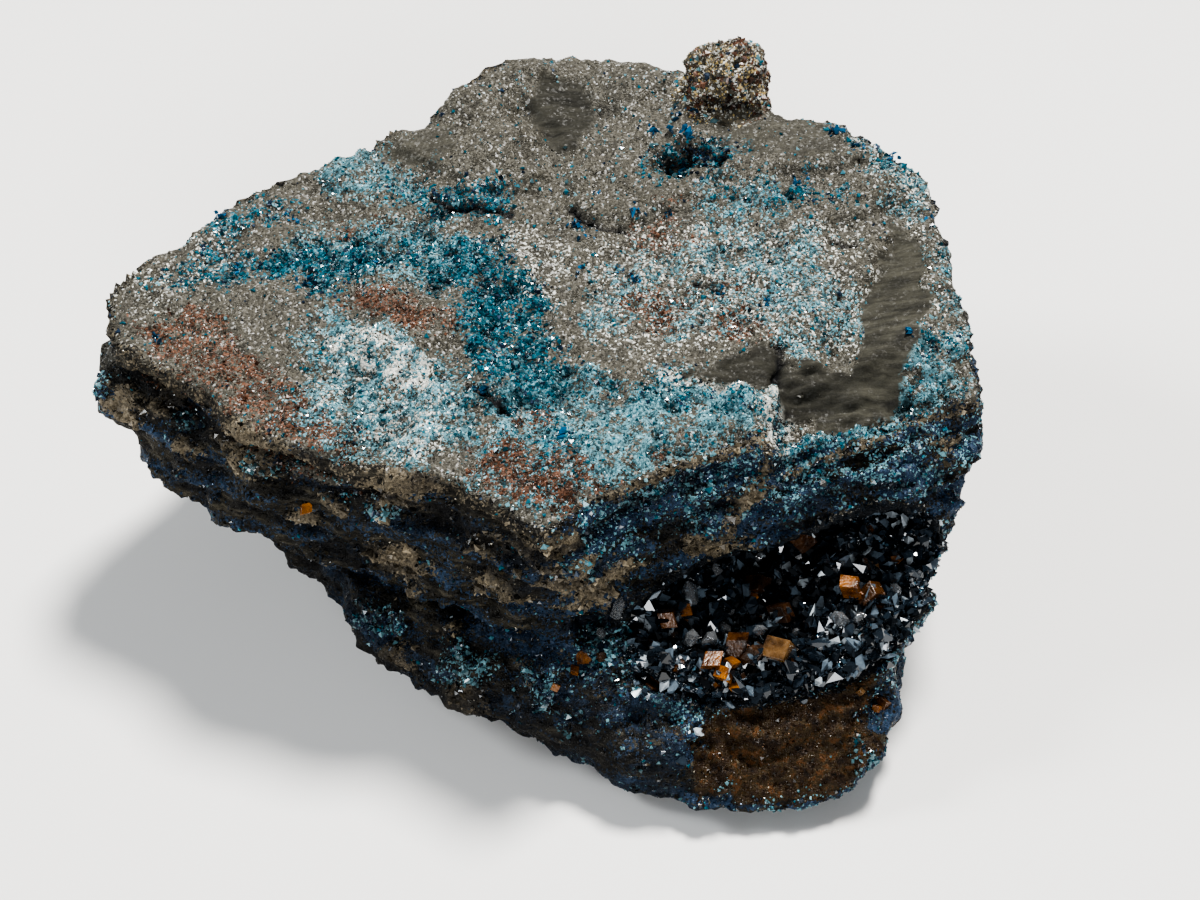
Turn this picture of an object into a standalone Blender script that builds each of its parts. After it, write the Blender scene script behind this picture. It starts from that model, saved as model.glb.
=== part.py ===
"""A lazulite specimen: one broken, bedded rock with a crystal-lined pocket in its front face.

Two solids. "rock" is the whole matrix with its ledges, chips, sheets and back knob.
"pocket_crystals" is the crust of siderite, quartz and lazulite crystals on the pocket's floor.
+X is the rock's length, +Z is up, and the pocket faces -Y. Drawn in millimetres, built in metres.
The finished specimen stands with the middle of its footprint's box at the origin.
"""

import math
import random

import bmesh
import bpy
import numpy as np
from mathutils import Matrix, Vector, noise

MM = 0.001

# Driving dimensions of the rock
TOP_Z = 36.5  # height of the top bedding plane at y = 0
TOP_TILT = 0.10  # rise of that plane per millimetre away from the front
HUB = (0.0, 6.0)  # every level's outline is star shaped about this point
DRAWN_MIDDLE = (-0.1, 3.8)  # middle of the rock's box where it is drawn, which goes to the origin
BED_THICKNESS = 3.1
BED_STEP = 1.5  # how far one bed may stand out past the next
GRAIN_GAP = 0.3  # clearance between the crust and the pocket wall

# Rough relief, as how high it is and how long its waves are
TOP_SWELL = (0.8, 26.0)
TOP_ROUGH = (0.35, 7.0)
SIDE_SWELL = (0.8, 9.0)
SIDE_ROUGH = (0.5, 3.5)
FOOT_ROUGH = (1.4, 4.0)
RIM_ROUGH = (0.7, 8.0)
UNDER_SWELL = (3.0, 21.0)
UNDER_ROUGH = (0.5, 6.0)
POCKET_ROUGH = (0.5, 6.0)
CRUST_ROUGH = (0.5, 5.0)
RIM_WEAR = 0.5
FOOT_EDGE = 1.2  # height of the underside's outer edge
UNDER_HEIGHT = 0.6  # mean height of the underside, whose low places are cut flat at the resting plane

# The mesh before it is thinned out
RAYS = 300
SIDE_ROWS = 46
TOP_RINGS = 46
BASE_RINGS = 14
ROCK_TRIANGLES = 5000
POCKET_RAYS = 34
POCKET_RINGS = 8

# The back of the rim, from the right end round to the left end
BACK_RIM = [(56.2, 4.0), (55.0, 17.6), (53.6, 33.4), (45.4, 37.4), (41.0, 42.0), (32.6, 45.6), (20.0, 54.0),
            (8.5, 56.4), (0.5, 56.2), (-4.6, 55.2), (-9.8, 50.0), (-13.8, 43.2), (-24.0, 36.8), (-38.2, 30.0),
            (-48.0, 20.4)]

# Levels from the foot to the rim: height at y = 0, how far the back is inset, then the front from left to right
LEVELS = [
    (0.0, 13.0, [(-31, 7), (-29, -3), (-23, -12), (-18, -18), (-13, -24), (-3, -31), (6, -37), (14, -42.5),
                 (21, -45), (27, -45.5), (33, -44.5), (38.5, -41.5), (41, -36), (43, -27), (46, -10)]),
    (3.5, 9.0, [(-37, 7), (-35, -3), (-28, -12), (-22, -19), (-19, -25), (-6, -33.5), (4, -39.5), (13, -46),
                (20.8, -49.4), (26, -50.2), (33, -49.2), (40, -45.8), (43.5, -40.5), (45.5, -28), (49, -10)]),
    (8.0, 7.0, [(-40, 7), (-38, -3), (-30, -12), (-24.5, -17), (-22.6, -25.2), (-9, -35.6), (3, -41), (10, -44),
                (18, -46), (26, -46.4), (34, -45.6), (41, -43), (44.8, -39), (47.5, -28), (50, -10)]),
    (12.0, 5.0, [(-43, 7), (-41, -4), (-33, -11.5), (-25.5, -16), (-23.6, -22.6), (-9, -31.6), (2, -36.5),
                 (9, -39.4), (16, -40.6), (25, -40.4), (33, -39.6), (40, -38.4), (45, -34.8), (48.5, -27),
                 (51, -10)]),
    (14.8, 4.0, [(-46, 7), (-44, -4), (-36.5, -11.5), (-29, -15), (-24, -16.2), (-10, -24.4), (2, -29.4),
                 (9, -32.8), (16, -35.4), (24, -36.4), (32, -36), (40, -34.5), (46.5, -31), (50.5, -26), (52, -10)]),
    (18.0, 2.0, [(-50, 7), (-49, -4), (-43.4, -11.3), (-31, -17.6), (-24, -20.8), (-9, -27.6), (-1.5, -30.6),
                 (4.5, -31.4), (9.7, -30.4), (15, -29.5), (22, -28.3), (30, -27.8), (38, -27.6), (47, -26.6),
                 (52.0, -22.0), (54, -10)]),
    (22.0, 0.5, [(-55, 7), (-53.8, -3.8), (-44.8, -11.2), (-31.5, -17.8), (-24, -21), (-10, -26.4), (-1.5, -30.0),
                 (4.5, -30.8), (9.5, -29.2), (15, -27.2), (20, -25.8), (26, -24.6), (34, -24.8), (43.7, -23.2),
                 (52.0, -20.2), (55.5, -10)]),
    (28.0, -0.8, [(-58, 6.5), (-56, -1), (-46, -8.6), (-32.5, -17.7), (-24.5, -21.2), (-10, -25.6), (-2, -30.6),
                  (4.6, -32.0), (11.5, -27.2), (21.5, -22.8), (31, -21), (43, -18), (51.6, -17.4), (55.2, -14),
                  (56.4, -8), (57.0, 0)]),
    (33.4, 0.6, [(-55.4, 8), (-51.6, 0), (-43, -5.3), (-31.9, -15.4), (-24.2, -18.6), (-9.6, -22.2), (2.4, -30.6),
                 (11, -24), (20.9, -19.6), (29, -17.6), (38, -15.2), (46.4, -12.5), (55.0, -9.2), (56.2, -4),
                 (56.4, 0)]),
    (TOP_Z, 0.0, [(-56.4, 9.2), (-52.6, 0.1), (-43.8, -6.0), (-32.6, -16.6), (-25, -19.6), (-9.8, -22.8),
                  (2.4, -31.9), (10.9, -23.8), (20.8, -18.9), (29, -16.4), (38, -13.6), (46.4, -11), (55.2, -7.6),
                  (56.4, -4), (56.4, 0)]),
]

# Forms of the top, as outlines with a height
BACK_SHEET = [(-27, 39), (-19, 36), (-14.5, 32.4), (-10, 29.8), (-2.4, 28.4), (3, 33), (8, 38), (10, 62), (-14, 62)]
BACK_PLATE = [(18.5, 37.6), (25.5, 36.6), (30.5, 31.5), (40, 31.6), (47, 35), (54, 36), (62, 50), (20, 58)]
MIDDLE_SHEET = [(4, 25.2), (13.8, 23.2), (20, 27), (31, 26), (36, 21), (46, 25), (52, 34), (30, 36), (16, 36), (4, 34)]
SHEET_RISE = (1.3, 1.2)  # how high its edge is, and how wide
SHEET_FADE = (8.0, 12.0)  # x where the sheet has run out, and over what length it does
PLATE_RISE = (1.1, 1.4)
MIDDLE_RISE = (0.9, 1.0)
RECESS_DROP = (3.4, 1.6)
CRUST_RISE = (0.8, 3.0)
RECESS = [(16.4, 34.6), (19, 31.4), (25, 31.8), (26.6, 34.6), (21, 37.0)]
FRONT_CRUST = [(-9, -20), (5, -15), (17.5, -7.4), (30.6, -8.2), (30.2, -15.6), (21, -18.4), (10.5, -23), (2, -31)]
BACK_PITS = [(-2.4, 43.5, 2.6, 1.9), (1.4, 40.4, 1.8, 1.5), (36, 34.0, 3.0, 1.2), (8.5, 30.0, 2.0, 0.9)]
BACK_LUMPS = [(-10.5, 45.0, 5.0, 1.6), (-3.0, 51.6, 5.0, 1.2), (-8.0, 36.0, 5.5, 0.7), (-17.0, 3.0, 9.0, 1.1),
              (13.0, 50.0, 7.5, 1.5), (46.0, 38.0, 4.5, 1.0)]

# Front right scar: a shelf below the top, a sloping wall behind it and a steep left end
SCAR_DEPTH = 4.0
SCAR_LEFT = 30.6
SCAR_WALL_FOOT = -1.2
SCAR_WALL_SLOPE = 0.62
SCAR_END_SLOPE = 3.0

# Smooth three-sided facet: its upper edge as a point and a direction, how it falls, and its low and right sides
FACET_EDGE_POINT = (19.3, -6.0)
FACET_EDGE_TURN = (0.48, -0.874)
FACET_FALL = 0.34
FACET_FRONT = (-6.9, 3.2)
FACET_RIGHT = (31.4, 1.6)

# Smooth slip beside the right rim: a point on its left wall, the way it faces, its depth and slopes
SLIP_POINT = (38.6, 0.0)
SLIP_TURN = (0.90, -0.43)
SLIP_DEPTH = 1.4
SLIP_FLOOR_SLOPE = 0.20
SLIP_WALL_SLOPE = 1.4
SLIP_BACK = (27.0, 9.0)
SLIP_FRONT = (-7.0, 4.0)
CLEAR_OF_TOP = 4.0  # how far the slip's planes are lifted where it has run out

# Flat break across the lobe under the pocket: a point on it, and which way it faces
LOBE_BREAK_POINT = (26.0, -39.6, 12.0)
LOBE_BREAK_FACING = (0.05, -0.66, 0.75)
LOBE_BREAK_LEFT = 16.5
LOBE_BREAK_EASE = 5.0
LOBE_BREAK_TOP = 14.0

# Rib that runs down the face from the scar's left end
RIB_TOP = (31.0, 32.5)
RIB_FOOT = (27.0, 24.0)
RIB_RISE = 1.3

# Pocket: a lens shaped hollow about a sloping middle plane
POCKET_CENTRE = (30.8, -25.0)
POCKET_RADII = (22.2, 17.2)
POCKET_MIDDLE_Z = 16.8
POCKET_SLOPE = (0.10, 0.10)
POCKET_FLOOR_DEPTH = 4.4
POCKET_ROOF_RISE = 5.9
POCKET_ROOF_FLARE = 0.09  # how much higher the roof is, per millimetre towards the right

# Knob of coarse grains on the back edge
KNOB_CENTRE = (26.4, 48.6, 43.2)
KNOB_RADII = (6.2, 4.9, 6.6)

# Crust on the pocket's floor, its crystals by kind, and how big each is: x, y, size
CRUST_OUTLINE = [(10.5, -32.0), (14, -36.2), (20, -38.4), (26, -38.8), (33, -38.0), (40, -36.6), (45, -33.2),
                 (48.4, -28), (51, -22), (50.4, -16.5), (45, -12.4), (36, -10.2), (28, -10.0), (20, -12.4),
                 (13.6, -18), (10.6, -25)]
CRUST_THICKNESS = 1.5
CRUST_EDGE = 0.6
SIDERITE = [(40.2, -25.0, 2.2), (41.6, -17.4, 3.7), (48.2, -19.2, 2.1), (49.4, -16.6, 2.1), (31.3, -27.7, 2.3),
            (17.1, -27.5, 2.1), (19.4, -25.6, 1.6), (25.6, -32.6, 2.5), (27.8, -34.3, 2.1), (30.7, -34.0, 2.9),
            (22.3, -34.6, 2.3), (16.6, -34.0, 2.9), (19.6, -34.9, 2.0), (23.8, -36.6, 1.5), (28.6, -23.3, 2.5),
            (24.6, -35.2, 1.6), (42.8, -25.6, 2.1), (35.0, -16.0, 2.4)]
QUARTZ = [(38.2, -20.8, 4.2), (42.2, -22.4, 3.2), (20.0, -23.6, 2.8), (14.4, -25.6, 3.0), (19.8, -31.1, 2.9),
          (35.6, -29.2, 3.0), (38.6, -29.4, 2.8), (41.2, -29.2, 2.2), (22.2, -31.0, 2.4), (28.4, -30.4, 2.6)]
LAZULITE_SPACING = 3.7
LAZULITE_SIZES = (2.4, 3.6)
SEED = 7
TINY_EDGE = 0.02


def clear_scene():
    for old in list(bpy.data.objects):
        bpy.data.objects.remove(old, do_unlink=True)


def stone_material(name, colour, roughness):
    material = bpy.data.materials.new(name)
    material.use_nodes = True
    shader = material.node_tree.nodes["Principled BSDF"]
    shader.inputs["Base Color"].default_value = (*colour, 1.0)
    shader.inputs["Roughness"].default_value = roughness
    shader.inputs["Metallic"].default_value = 0.0
    return material


def smooth_step(value):
    t = np.clip(value, 0.0, 1.0)
    return t * t * (3.0 - 2.0 * t)


def rumple(x, y, z, wavelength, seed):
    """Fractal noise at each point, from about -1 to 1."""
    shift = 17.3 * seed
    return np.array([
        noise.fractal(Vector((a / wavelength + shift, b / wavelength, c / wavelength)), 0.7, 2.1, 3)
        for a, b, c in zip(np.ravel(x), np.ravel(y), np.ravel(z))
    ]).reshape(np.shape(x))


def relief(x, y, z, rough, seed):
    """Rough relief of a given height and wavelength."""
    height, wavelength = rough
    return height * rumple(x, y, z, wavelength, seed)


def step(x, y, outline, rise, lead=0.5):
    """A raised or sunk sheet: its rise, reached over a given width at its outline."""
    height, width = rise
    return height * smooth_step(inside_depth(x, y, outline) / width + lead)


def inside_depth(x, y, outline):
    """Distance to the outline, positive inside it."""
    nearest = np.full(np.shape(x), 1e9)
    inside = np.zeros(np.shape(x), bool)
    for (ax, ay), (bx, by) in zip(outline, outline[1:] + outline[:1]):
        ex, ey = bx - ax, by - ay
        along = np.clip(((x - ax) * ex + (y - ay) * ey) / (ex * ex + ey * ey), 0.0, 1.0)
        nearest = np.minimum(nearest, np.hypot(x - ax - along * ex, y - ay - along * ey))
        crosses = (ay > y) != (by > y)
        inside ^= crosses & (x < ax + (y - ay) * ex / (ey if ey else 1e-9))
    return np.where(inside, nearest, -nearest)


def level_outline(inset, front):
    """One level's closed outline: the front as given, and the back rim drawn in towards the hub."""
    back = []
    for x, y in BACK_RIM:
        reach = math.hypot(x - HUB[0], y - HUB[1])
        share = (reach - inset) / reach
        back.append((HUB[0] + (x - HUB[0]) * share, HUB[1] + (y - HUB[1]) * share))
    return front + back


def radii_of(outline, hub, angles):
    """The outline's distance from the hub at each angle."""
    corners = np.array(outline + outline[:1], float)
    steps = np.linspace(0.0, 1.0, 24, endpoint=False)
    points = np.concatenate([a + (b - a) * steps[:, None] for a, b in zip(corners[:-1], corners[1:])])
    offsets = points - hub
    turn = np.arctan2(offsets[:, 1], offsets[:, 0])
    order = np.argsort(turn)
    return np.interp(angles, turn[order], np.hypot(*offsets[order].T), period=2 * math.pi)


def bedding(angles, height):
    """How far the bed at this height stands out, all round the rock."""
    out = np.zeros(len(angles))
    for i, angle in enumerate(angles):
        wave = 0.9 * noise.noise(Vector((2.2 * math.cos(angle), 2.2 * math.sin(angle), 5.0)))
        place = height / BED_THICKNESS + wave
        bed = math.floor(place)
        lower, upper = (
            noise.noise(Vector((2.6 * math.cos(angle), 2.6 * math.sin(angle), 9.7 * (bed + k)))) for k in (0, 1)
        )
        blend = float(smooth_step((place - bed - 0.78) / 0.22))
        out[i] = BED_STEP * (lower + (upper - lower) * blend)
    return out


def rib(x, y, height):
    """The rib on the front face."""
    share = (RIB_TOP[1] - height) / (RIB_TOP[1] - RIB_FOOT[1])
    middle = RIB_TOP[0] + (RIB_FOOT[0] - RIB_TOP[0]) * share
    ends = float(smooth_step((share + 0.3) / 0.3) * smooth_step((1.25 - share) / 0.4))
    return RIB_RISE * ends * np.exp(-((x - middle) / 1.1) ** 2) * (y < 0)


def share_inside_break(x, y, height):
    """How much of each point's reach is left where it would stand out past the lobe's flat break."""
    px, py, pz = LOBE_BREAK_POINT
    nx, ny, nz = LOBE_BREAK_FACING
    past = (x - px) * nx + (y - py) * ny + (height - pz) * nz
    toward = (x - HUB[0]) * nx + (y - HUB[1]) * ny
    ease = smooth_step((x - LOBE_BREAK_LEFT) / LOBE_BREAK_EASE)
    cut = (past > 0) & (toward > 1.0) & (height < LOBE_BREAK_TOP)
    return np.where(cut, 1.0 - ease * past / np.maximum(toward, 1.0), 1.0)


def notch(height, *planes):
    """The top after a chip with these faces has come off."""
    return np.minimum(height, np.maximum.reduce(planes))


def scar(x, y, base):
    shelf = base - SCAR_DEPTH
    wall = base + SCAR_WALL_SLOPE * (y - SCAR_WALL_FOOT)
    return shelf, wall, base - SCAR_END_SLOPE * (x - SCAR_LEFT)


def facet(x, y, base):
    away = FACET_EDGE_TURN[0] * (x - FACET_EDGE_POINT[0]) + FACET_EDGE_TURN[1] * (y - FACET_EDGE_POINT[1])
    front = base - FACET_FRONT[1] * (y - FACET_FRONT[0]) - SLIP_DEPTH
    return base - FACET_FALL * away, front, base + FACET_RIGHT[1] * (x - FACET_RIGHT[0])


def slip(x, y, base):
    across = SLIP_TURN[0] * (x - SLIP_POINT[0]) + SLIP_TURN[1] * (y - SLIP_POINT[1])
    ends = smooth_step((SLIP_BACK[0] - y) / SLIP_BACK[1]) * smooth_step((y - SLIP_FRONT[0]) / SLIP_FRONT[1])
    foot = base - SLIP_DEPTH * ends + CLEAR_OF_TOP * (ends < 0.02)
    return foot + SLIP_FLOOR_SLOPE * across, foot - SLIP_WALL_SLOPE * across


def top_height(x, y):
    """Height of the top face at each point."""
    base = TOP_Z + TOP_TILT * y
    z = base + relief(x, y, 0 * x, TOP_SWELL, 1) + relief(x, y, 0 * x, TOP_ROUGH, 2)
    z += step(x, y, BACK_SHEET, SHEET_RISE) * smooth_step((SHEET_FADE[0] - x) / SHEET_FADE[1])
    z += step(x, y, BACK_PLATE, PLATE_RISE) + step(x, y, MIDDLE_SHEET, MIDDLE_RISE)
    z += step(x, y, FRONT_CRUST, CRUST_RISE, 0.0) - step(x, y, RECESS, RECESS_DROP)
    for px, py, radius, depth in BACK_PITS:
        z -= depth * np.exp(-2.0 * ((x - px) ** 2 + (y - py) ** 2) / radius**2)
    for px, py, radius, rise in BACK_LUMPS:
        z += rise * np.exp(-1.6 * ((x - px) ** 2 + (y - py) ** 2) / radius**2)
    for planes in (scar, facet, slip):
        z = notch(z, *planes(x, y, base))
    return z


def base_height(x, y):
    """Height of the underside: hollows between low places that reach below the resting plane."""
    return UNDER_HEIGHT + relief(x, y, 0 * x, UNDER_SWELL, 7) + relief(x, y, 0 * x, UNDER_ROUGH, 8)


def rock_points():
    """The closed grid of the rock's surface, ring by ring: underside, sides, then top."""
    angles = np.linspace(-math.pi, math.pi, RAYS, endpoint=False)
    way = np.stack([np.cos(angles), np.sin(angles)])
    heights = [level[0] for level in LEVELS]
    radii = np.array([radii_of(level_outline(inset, front), HUB, angles) for _, inset, front in LEVELS])
    rings = []

    foot = radii[0] + relief(*(way * 9.0), 0 * angles, FOOT_ROUGH, 3)
    for share in np.linspace(1.0 / BASE_RINGS, 1.0, BASE_RINGS):
        x, y = HUB[0] + way[0] * foot * share, HUB[1] + way[1] * foot * share
        lift = smooth_step((share - 0.82) / 0.18)
        rings.append(np.stack([x, y, base_height(x, y) * (1 - lift) + FOOT_EDGE * lift], axis=1))

    for height in np.linspace(FOOT_EDGE + 0.2, TOP_Z - 0.5, SIDE_ROWS):
        reach = np.array([np.interp(height, heights, column) for column in radii.T])
        x, y = HUB[0] + way[0] * reach, HUB[1] + way[1] * reach
        fade = min(1.0, (TOP_Z - height) / 2.5)
        out = bedding(angles, height) * fade + relief(x, y, 0 * x + height, SIDE_SWELL, 4)
        out += relief(x, y, 0 * x + height, SIDE_ROUGH, 5) + rib(x, y, height)
        x, y = x + way[0] * out, y + way[1] * out
        share = share_inside_break(x, y, height)
        x, y = HUB[0] + (x - HUB[0]) * share, HUB[1] + (y - HUB[1]) * share
        rings.append(np.stack([x, y, height * (1 + TOP_TILT / TOP_Z * y)], axis=1))

    rim = radii[-1] + relief(*(way * 60.0), 0 * angles, RIM_ROUGH, 6)
    for share in 1.0 - np.linspace(0.0, 1.0, TOP_RINGS, endpoint=False) ** 1.15:
        x, y = HUB[0] + way[0] * rim * share, HUB[1] + way[1] * rim * share
        worn = RIM_WEAR * smooth_step((share - 0.975) / 0.025)
        rings.append(np.stack([x, y, top_height(x, y) - worn], axis=1))
    return rings


def ringed_mesh(name, rings, first, last):
    """A closed mesh from rings of equal count, with one point that closes each end."""
    mesh = bmesh.new()
    rows = [[mesh.verts.new(Vector(point) * MM) for point in ring] for ring in rings]
    start, end = mesh.verts.new(Vector(first) * MM), mesh.verts.new(Vector(last) * MM)
    count = len(rows[0])
    for i in range(count):
        j = (i + 1) % count
        mesh.faces.new((rows[0][j], rows[0][i], start))
        mesh.faces.new((rows[-1][i], rows[-1][j], end))
        for below, above in zip(rows[:-1], rows[1:]):
            mesh.faces.new((below[i], below[j], above[j], above[i]))
    bmesh.ops.recalc_face_normals(mesh, faces=mesh.faces)
    return object_from(name, mesh)


def object_from(name, mesh, collection=None):
    data = bpy.data.meshes.new(name)
    mesh.to_mesh(data)
    mesh.free()
    made = bpy.data.objects.new(name, data)
    (collection or bpy.context.scene.collection).objects.link(made)
    return made


def as_cutter(made):
    made.hide_render = True
    made.display_type = "WIRE"
    return made


def boolean(target, cutter, operation):
    modifier = target.modifiers.new(f"{operation} {cutter.name}".lower(), "BOOLEAN")
    modifier.object = cutter
    modifier.operation = operation
    return modifier


def pocket_heights(x, y, shrink=0.0):
    """(floor, roof) of the pocket at a point, drawn in by shrink millimetres."""
    right, back = x - POCKET_CENTRE[0], y - POCKET_CENTRE[1]
    reach = np.hypot(right / (POCKET_RADII[0] - shrink), back / (POCKET_RADII[1] - shrink))
    swell = np.sqrt(np.clip(1.0 - reach**4, 0.0, 1.0))
    middle = POCKET_MIDDLE_Z + POCKET_SLOPE[0] * right + POCKET_SLOPE[1] * back
    bumps = relief(x, y, 0 * x, POCKET_ROUGH, 11)
    rise = POCKET_ROOF_RISE + POCKET_ROOF_FLARE * right
    return middle - (POCKET_FLOOR_DEPTH - shrink - bumps) * swell, middle + (rise - shrink + bumps) * swell


def pocket_lens(name, shrink):
    """The pocket's hollow as a solid, drawn in all round by shrink millimetres."""
    angles = np.linspace(0.0, 2 * math.pi, POCKET_RAYS, endpoint=False)
    shares = np.sin(np.linspace(0.2, 0.5 * math.pi, POCKET_RINGS))
    rings = []
    for which, order in ((0, shares), (1, shares[-2::-1])):
        for share in order:
            x = POCKET_CENTRE[0] + (POCKET_RADII[0] - shrink) * share * np.cos(angles)
            y = POCKET_CENTRE[1] + (POCKET_RADII[1] - shrink) * share * np.sin(angles)
            rings.append(np.stack([x, y, pocket_heights(x, y, shrink)[which]], axis=1))
    centre = np.array([POCKET_CENTRE[0]]), np.array([POCKET_CENTRE[1]])
    floor, roof = (float(height[0]) for height in pocket_heights(*centre, shrink))
    return as_cutter(ringed_mesh(name, rings, (*POCKET_CENTRE, floor), (*POCKET_CENTRE, roof)))


def knob():
    """A blocky lump of coarse grains."""
    mesh = bmesh.new()
    bmesh.ops.create_icosphere(mesh, subdivisions=4, radius=1.0)
    for vertex in mesh.verts:
        way = vertex.co.normalized()
        blocky = (abs(way.x) ** 3 + abs(way.y) ** 3 + abs(way.z) ** 3) ** (-1 / 3)
        bump = 0.10 * noise.noise(way * 2.2) + 0.11 * noise.cell_vector(way * 3.1).x
        reach = 0.5 + 0.5 * blocky + bump
        vertex.co = (Vector(a * b * reach for a, b in zip(way, KNOB_RADII)) + Vector(KNOB_CENTRE)) * MM
    return as_cutter(object_from("knob_lump", mesh))


def resting_cutter():
    mesh = bmesh.new()
    bmesh.ops.create_cube(mesh, size=1.0)
    bmesh.ops.scale(mesh, vec=Vector((200, 200, 20)) * MM, verts=mesh.verts)
    bmesh.ops.translate(mesh, vec=Vector((0, 0, -10)) * MM, verts=mesh.verts)
    return as_cutter(object_from("resting_plane", mesh))


def build_rock():
    rings = rock_points()
    x, y = (np.array([value]) for value in HUB)
    first = (*HUB, float(base_height(x, y)[0]))
    last = (*HUB, float(top_height(x, y)[0]))
    rock = ringed_mesh("rock", rings, first, last)
    boolean(rock, knob(), "UNION")
    thin = rock.modifiers.new("thin out", "DECIMATE")
    thin.ratio = ROCK_TRIANGLES / (2.0 * RAYS * len(rings))
    thin.use_collapse_triangulate = True
    boolean(rock, pocket_lens("pocket_hollow", 0.0), "DIFFERENCE")
    boolean(rock, resting_cutter(), "DIFFERENCE")
    rock.data.materials.append(stone_material("matrix", (0.19, 0.17, 0.15), 0.75))
    return rock


def crust_top(x, y):
    """Height of the crust's upper face before its crystals grow."""
    floor = pocket_heights(x, y, GRAIN_GAP)[0]
    edge = smooth_step(inside_depth(x, y, CRUST_OUTLINE) / 2.5)
    return floor + CRUST_EDGE + CRUST_THICKNESS * edge * (0.8 + relief(x, y, 0 * x, CRUST_ROUGH, 12))


def crust_base():
    """The sheet that carries the crystals, drawn below the pocket's floor and cut off above it later."""
    angles = np.linspace(0.0, 2 * math.pi, 30, endpoint=False)
    reach = radii_of(CRUST_OUTLINE, POCKET_CENTRE, angles)
    rings = []
    for upper, shares in ((False, np.linspace(0.2, 1.0, 5)), (True, np.linspace(1.0, 0.2, 5))):
        for share in shares:
            x = POCKET_CENTRE[0] + reach * share * np.cos(angles)
            y = POCKET_CENTRE[1] + reach * share * np.sin(angles)
            z = crust_top(x, y) if upper else pocket_heights(x, y)[0] - CRUST_THICKNESS
            rings.append(np.stack([x, y, z], axis=1))
    x, y = (np.array([value]) for value in POCKET_CENTRE)
    low, high = float(pocket_heights(x, y)[0][0]) - CRUST_THICKNESS, float(crust_top(x, y)[0])
    return ringed_mesh("pocket_crystals", rings, (*POCKET_CENTRE, low), (*POCKET_CENTRE, high))


def siderite_points():
    """Corners of a unit rhomb, a cube stretched a little along one diagonal."""
    edges = []
    for turn in (0.0, 2 * math.pi / 3, 4 * math.pi / 3):
        edges.append(Vector((0.85 * math.cos(turn), 0.85 * math.sin(turn), 0.53)))
    centre = sum(edges, Vector()) / 2
    return [a * edges[0] + b * edges[1] + c * edges[2] - centre for a in (0, 1) for b in (0, 1) for c in (0, 1)]


def quartz_points():
    """Corners of a stubby six-sided prism with a pointed cap at each end."""
    ring = [(0.42 * math.cos(k * math.pi / 3), 0.42 * math.sin(k * math.pi / 3)) for k in range(6)]
    prism = [Vector((x, y, z)) for x, y in ring for z in (-0.25, 0.3)]
    return prism + [Vector((0, 0, 0.66)), Vector((0, 0, -0.6))]


def lazulite_points():
    """Corners of a steep wedge-ended bipyramid."""
    waist = [Vector((0.5 * math.cos(a), 0.36 * math.sin(a), 0)) for a in (0.5, 2.4, 3.7, 5.6)]
    return waist + [Vector((x, 0.04, z)) for x in (-0.14, 0.14) for z in (-0.62, 0.62)]


def grow(name, points, place, size, chance, collection):
    """One flat-faced crystal, the hull of its corners, turned at random and sunk into the crust."""
    x, y = (np.array([value]) for value in place)
    turn = Matrix.Rotation(chance.uniform(0, 2 * math.pi), 3, "Z")
    tip = Matrix.Rotation(chance.uniform(-0.9, 0.9), 3, "X") @ Matrix.Rotation(chance.uniform(-0.7, 0.7), 3, "Y")
    centre = Vector((*place, float(crust_top(x, y)[0]) + 0.2 * size))
    mesh = bmesh.new()
    corners = [mesh.verts.new((centre + turn @ tip @ point * size) * MM) for point in points]
    bmesh.ops.convex_hull(mesh, input=corners)
    bmesh.ops.dissolve_limit(mesh, angle_limit=0.02, verts=mesh.verts, edges=mesh.edges)
    return as_cutter(object_from(name, mesh, collection))


def lazulite_places(chance):
    """Jittered rows of places inside the crust that keep clear of the larger crystals."""
    taken = SIDERITE + QUARTZ
    places = []
    for row in range(10):
        for column in range(12):
            x = 9.0 + (column + 0.5 * (row % 2)) * LAZULITE_SPACING + chance.uniform(-0.7, 0.7)
            y = -39.0 + row * 0.866 * LAZULITE_SPACING + chance.uniform(-0.7, 0.7)
            clear = all(math.hypot(x - a, y - b) > 0.62 * size + 0.5 for a, b, size in taken)
            if clear and inside_depth(np.array([x]), np.array([y]), CRUST_OUTLINE)[0] > 1.2:
                places.append((x, y, chance.uniform(*LAZULITE_SIZES)))
    return places


def build_pocket_crystals():
    chance = random.Random(SEED)
    grown = bpy.data.collections.new("grown_crystals")
    bpy.context.scene.collection.children.link(grown)
    crust = crust_base()
    for kind, points, places in (("siderite", siderite_points(), SIDERITE), ("quartz", quartz_points(), QUARTZ),
                                 ("lazulite", lazulite_points(), lazulite_places(chance))):
        for x, y, size in places:
            grow(kind, points, (x, y), size, chance, grown)
    union = crust.modifiers.new("grown together", "BOOLEAN")
    union.operand_type = "COLLECTION"
    union.collection = grown
    union.operation = "UNION"
    union.solver = "EXACT"
    boolean(crust, pocket_lens("clear_of_walls", GRAIN_GAP), "INTERSECT")
    weld = crust.modifiers.new("close tiny edges", "WELD")
    weld.merge_threshold = TINY_EDGE * MM
    crust.data.materials.append(stone_material("crystal_crust", (0.02, 0.03, 0.05), 0.25))
    return crust


def stand_on_origin():
    """Hang everything on one empty that brings the drawn middle to the origin."""
    drawn = list(bpy.data.objects)
    specimen = bpy.data.objects.new("specimen", None)
    specimen.location = Vector((-DRAWN_MIDDLE[0], -DRAWN_MIDDLE[1], 0.0)) * MM
    bpy.context.scene.collection.objects.link(specimen)
    for made in drawn:
        made.parent = specimen


def main():
    clear_scene()
    build_rock()
    build_pocket_crystals()
    stand_on_origin()


main()
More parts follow.
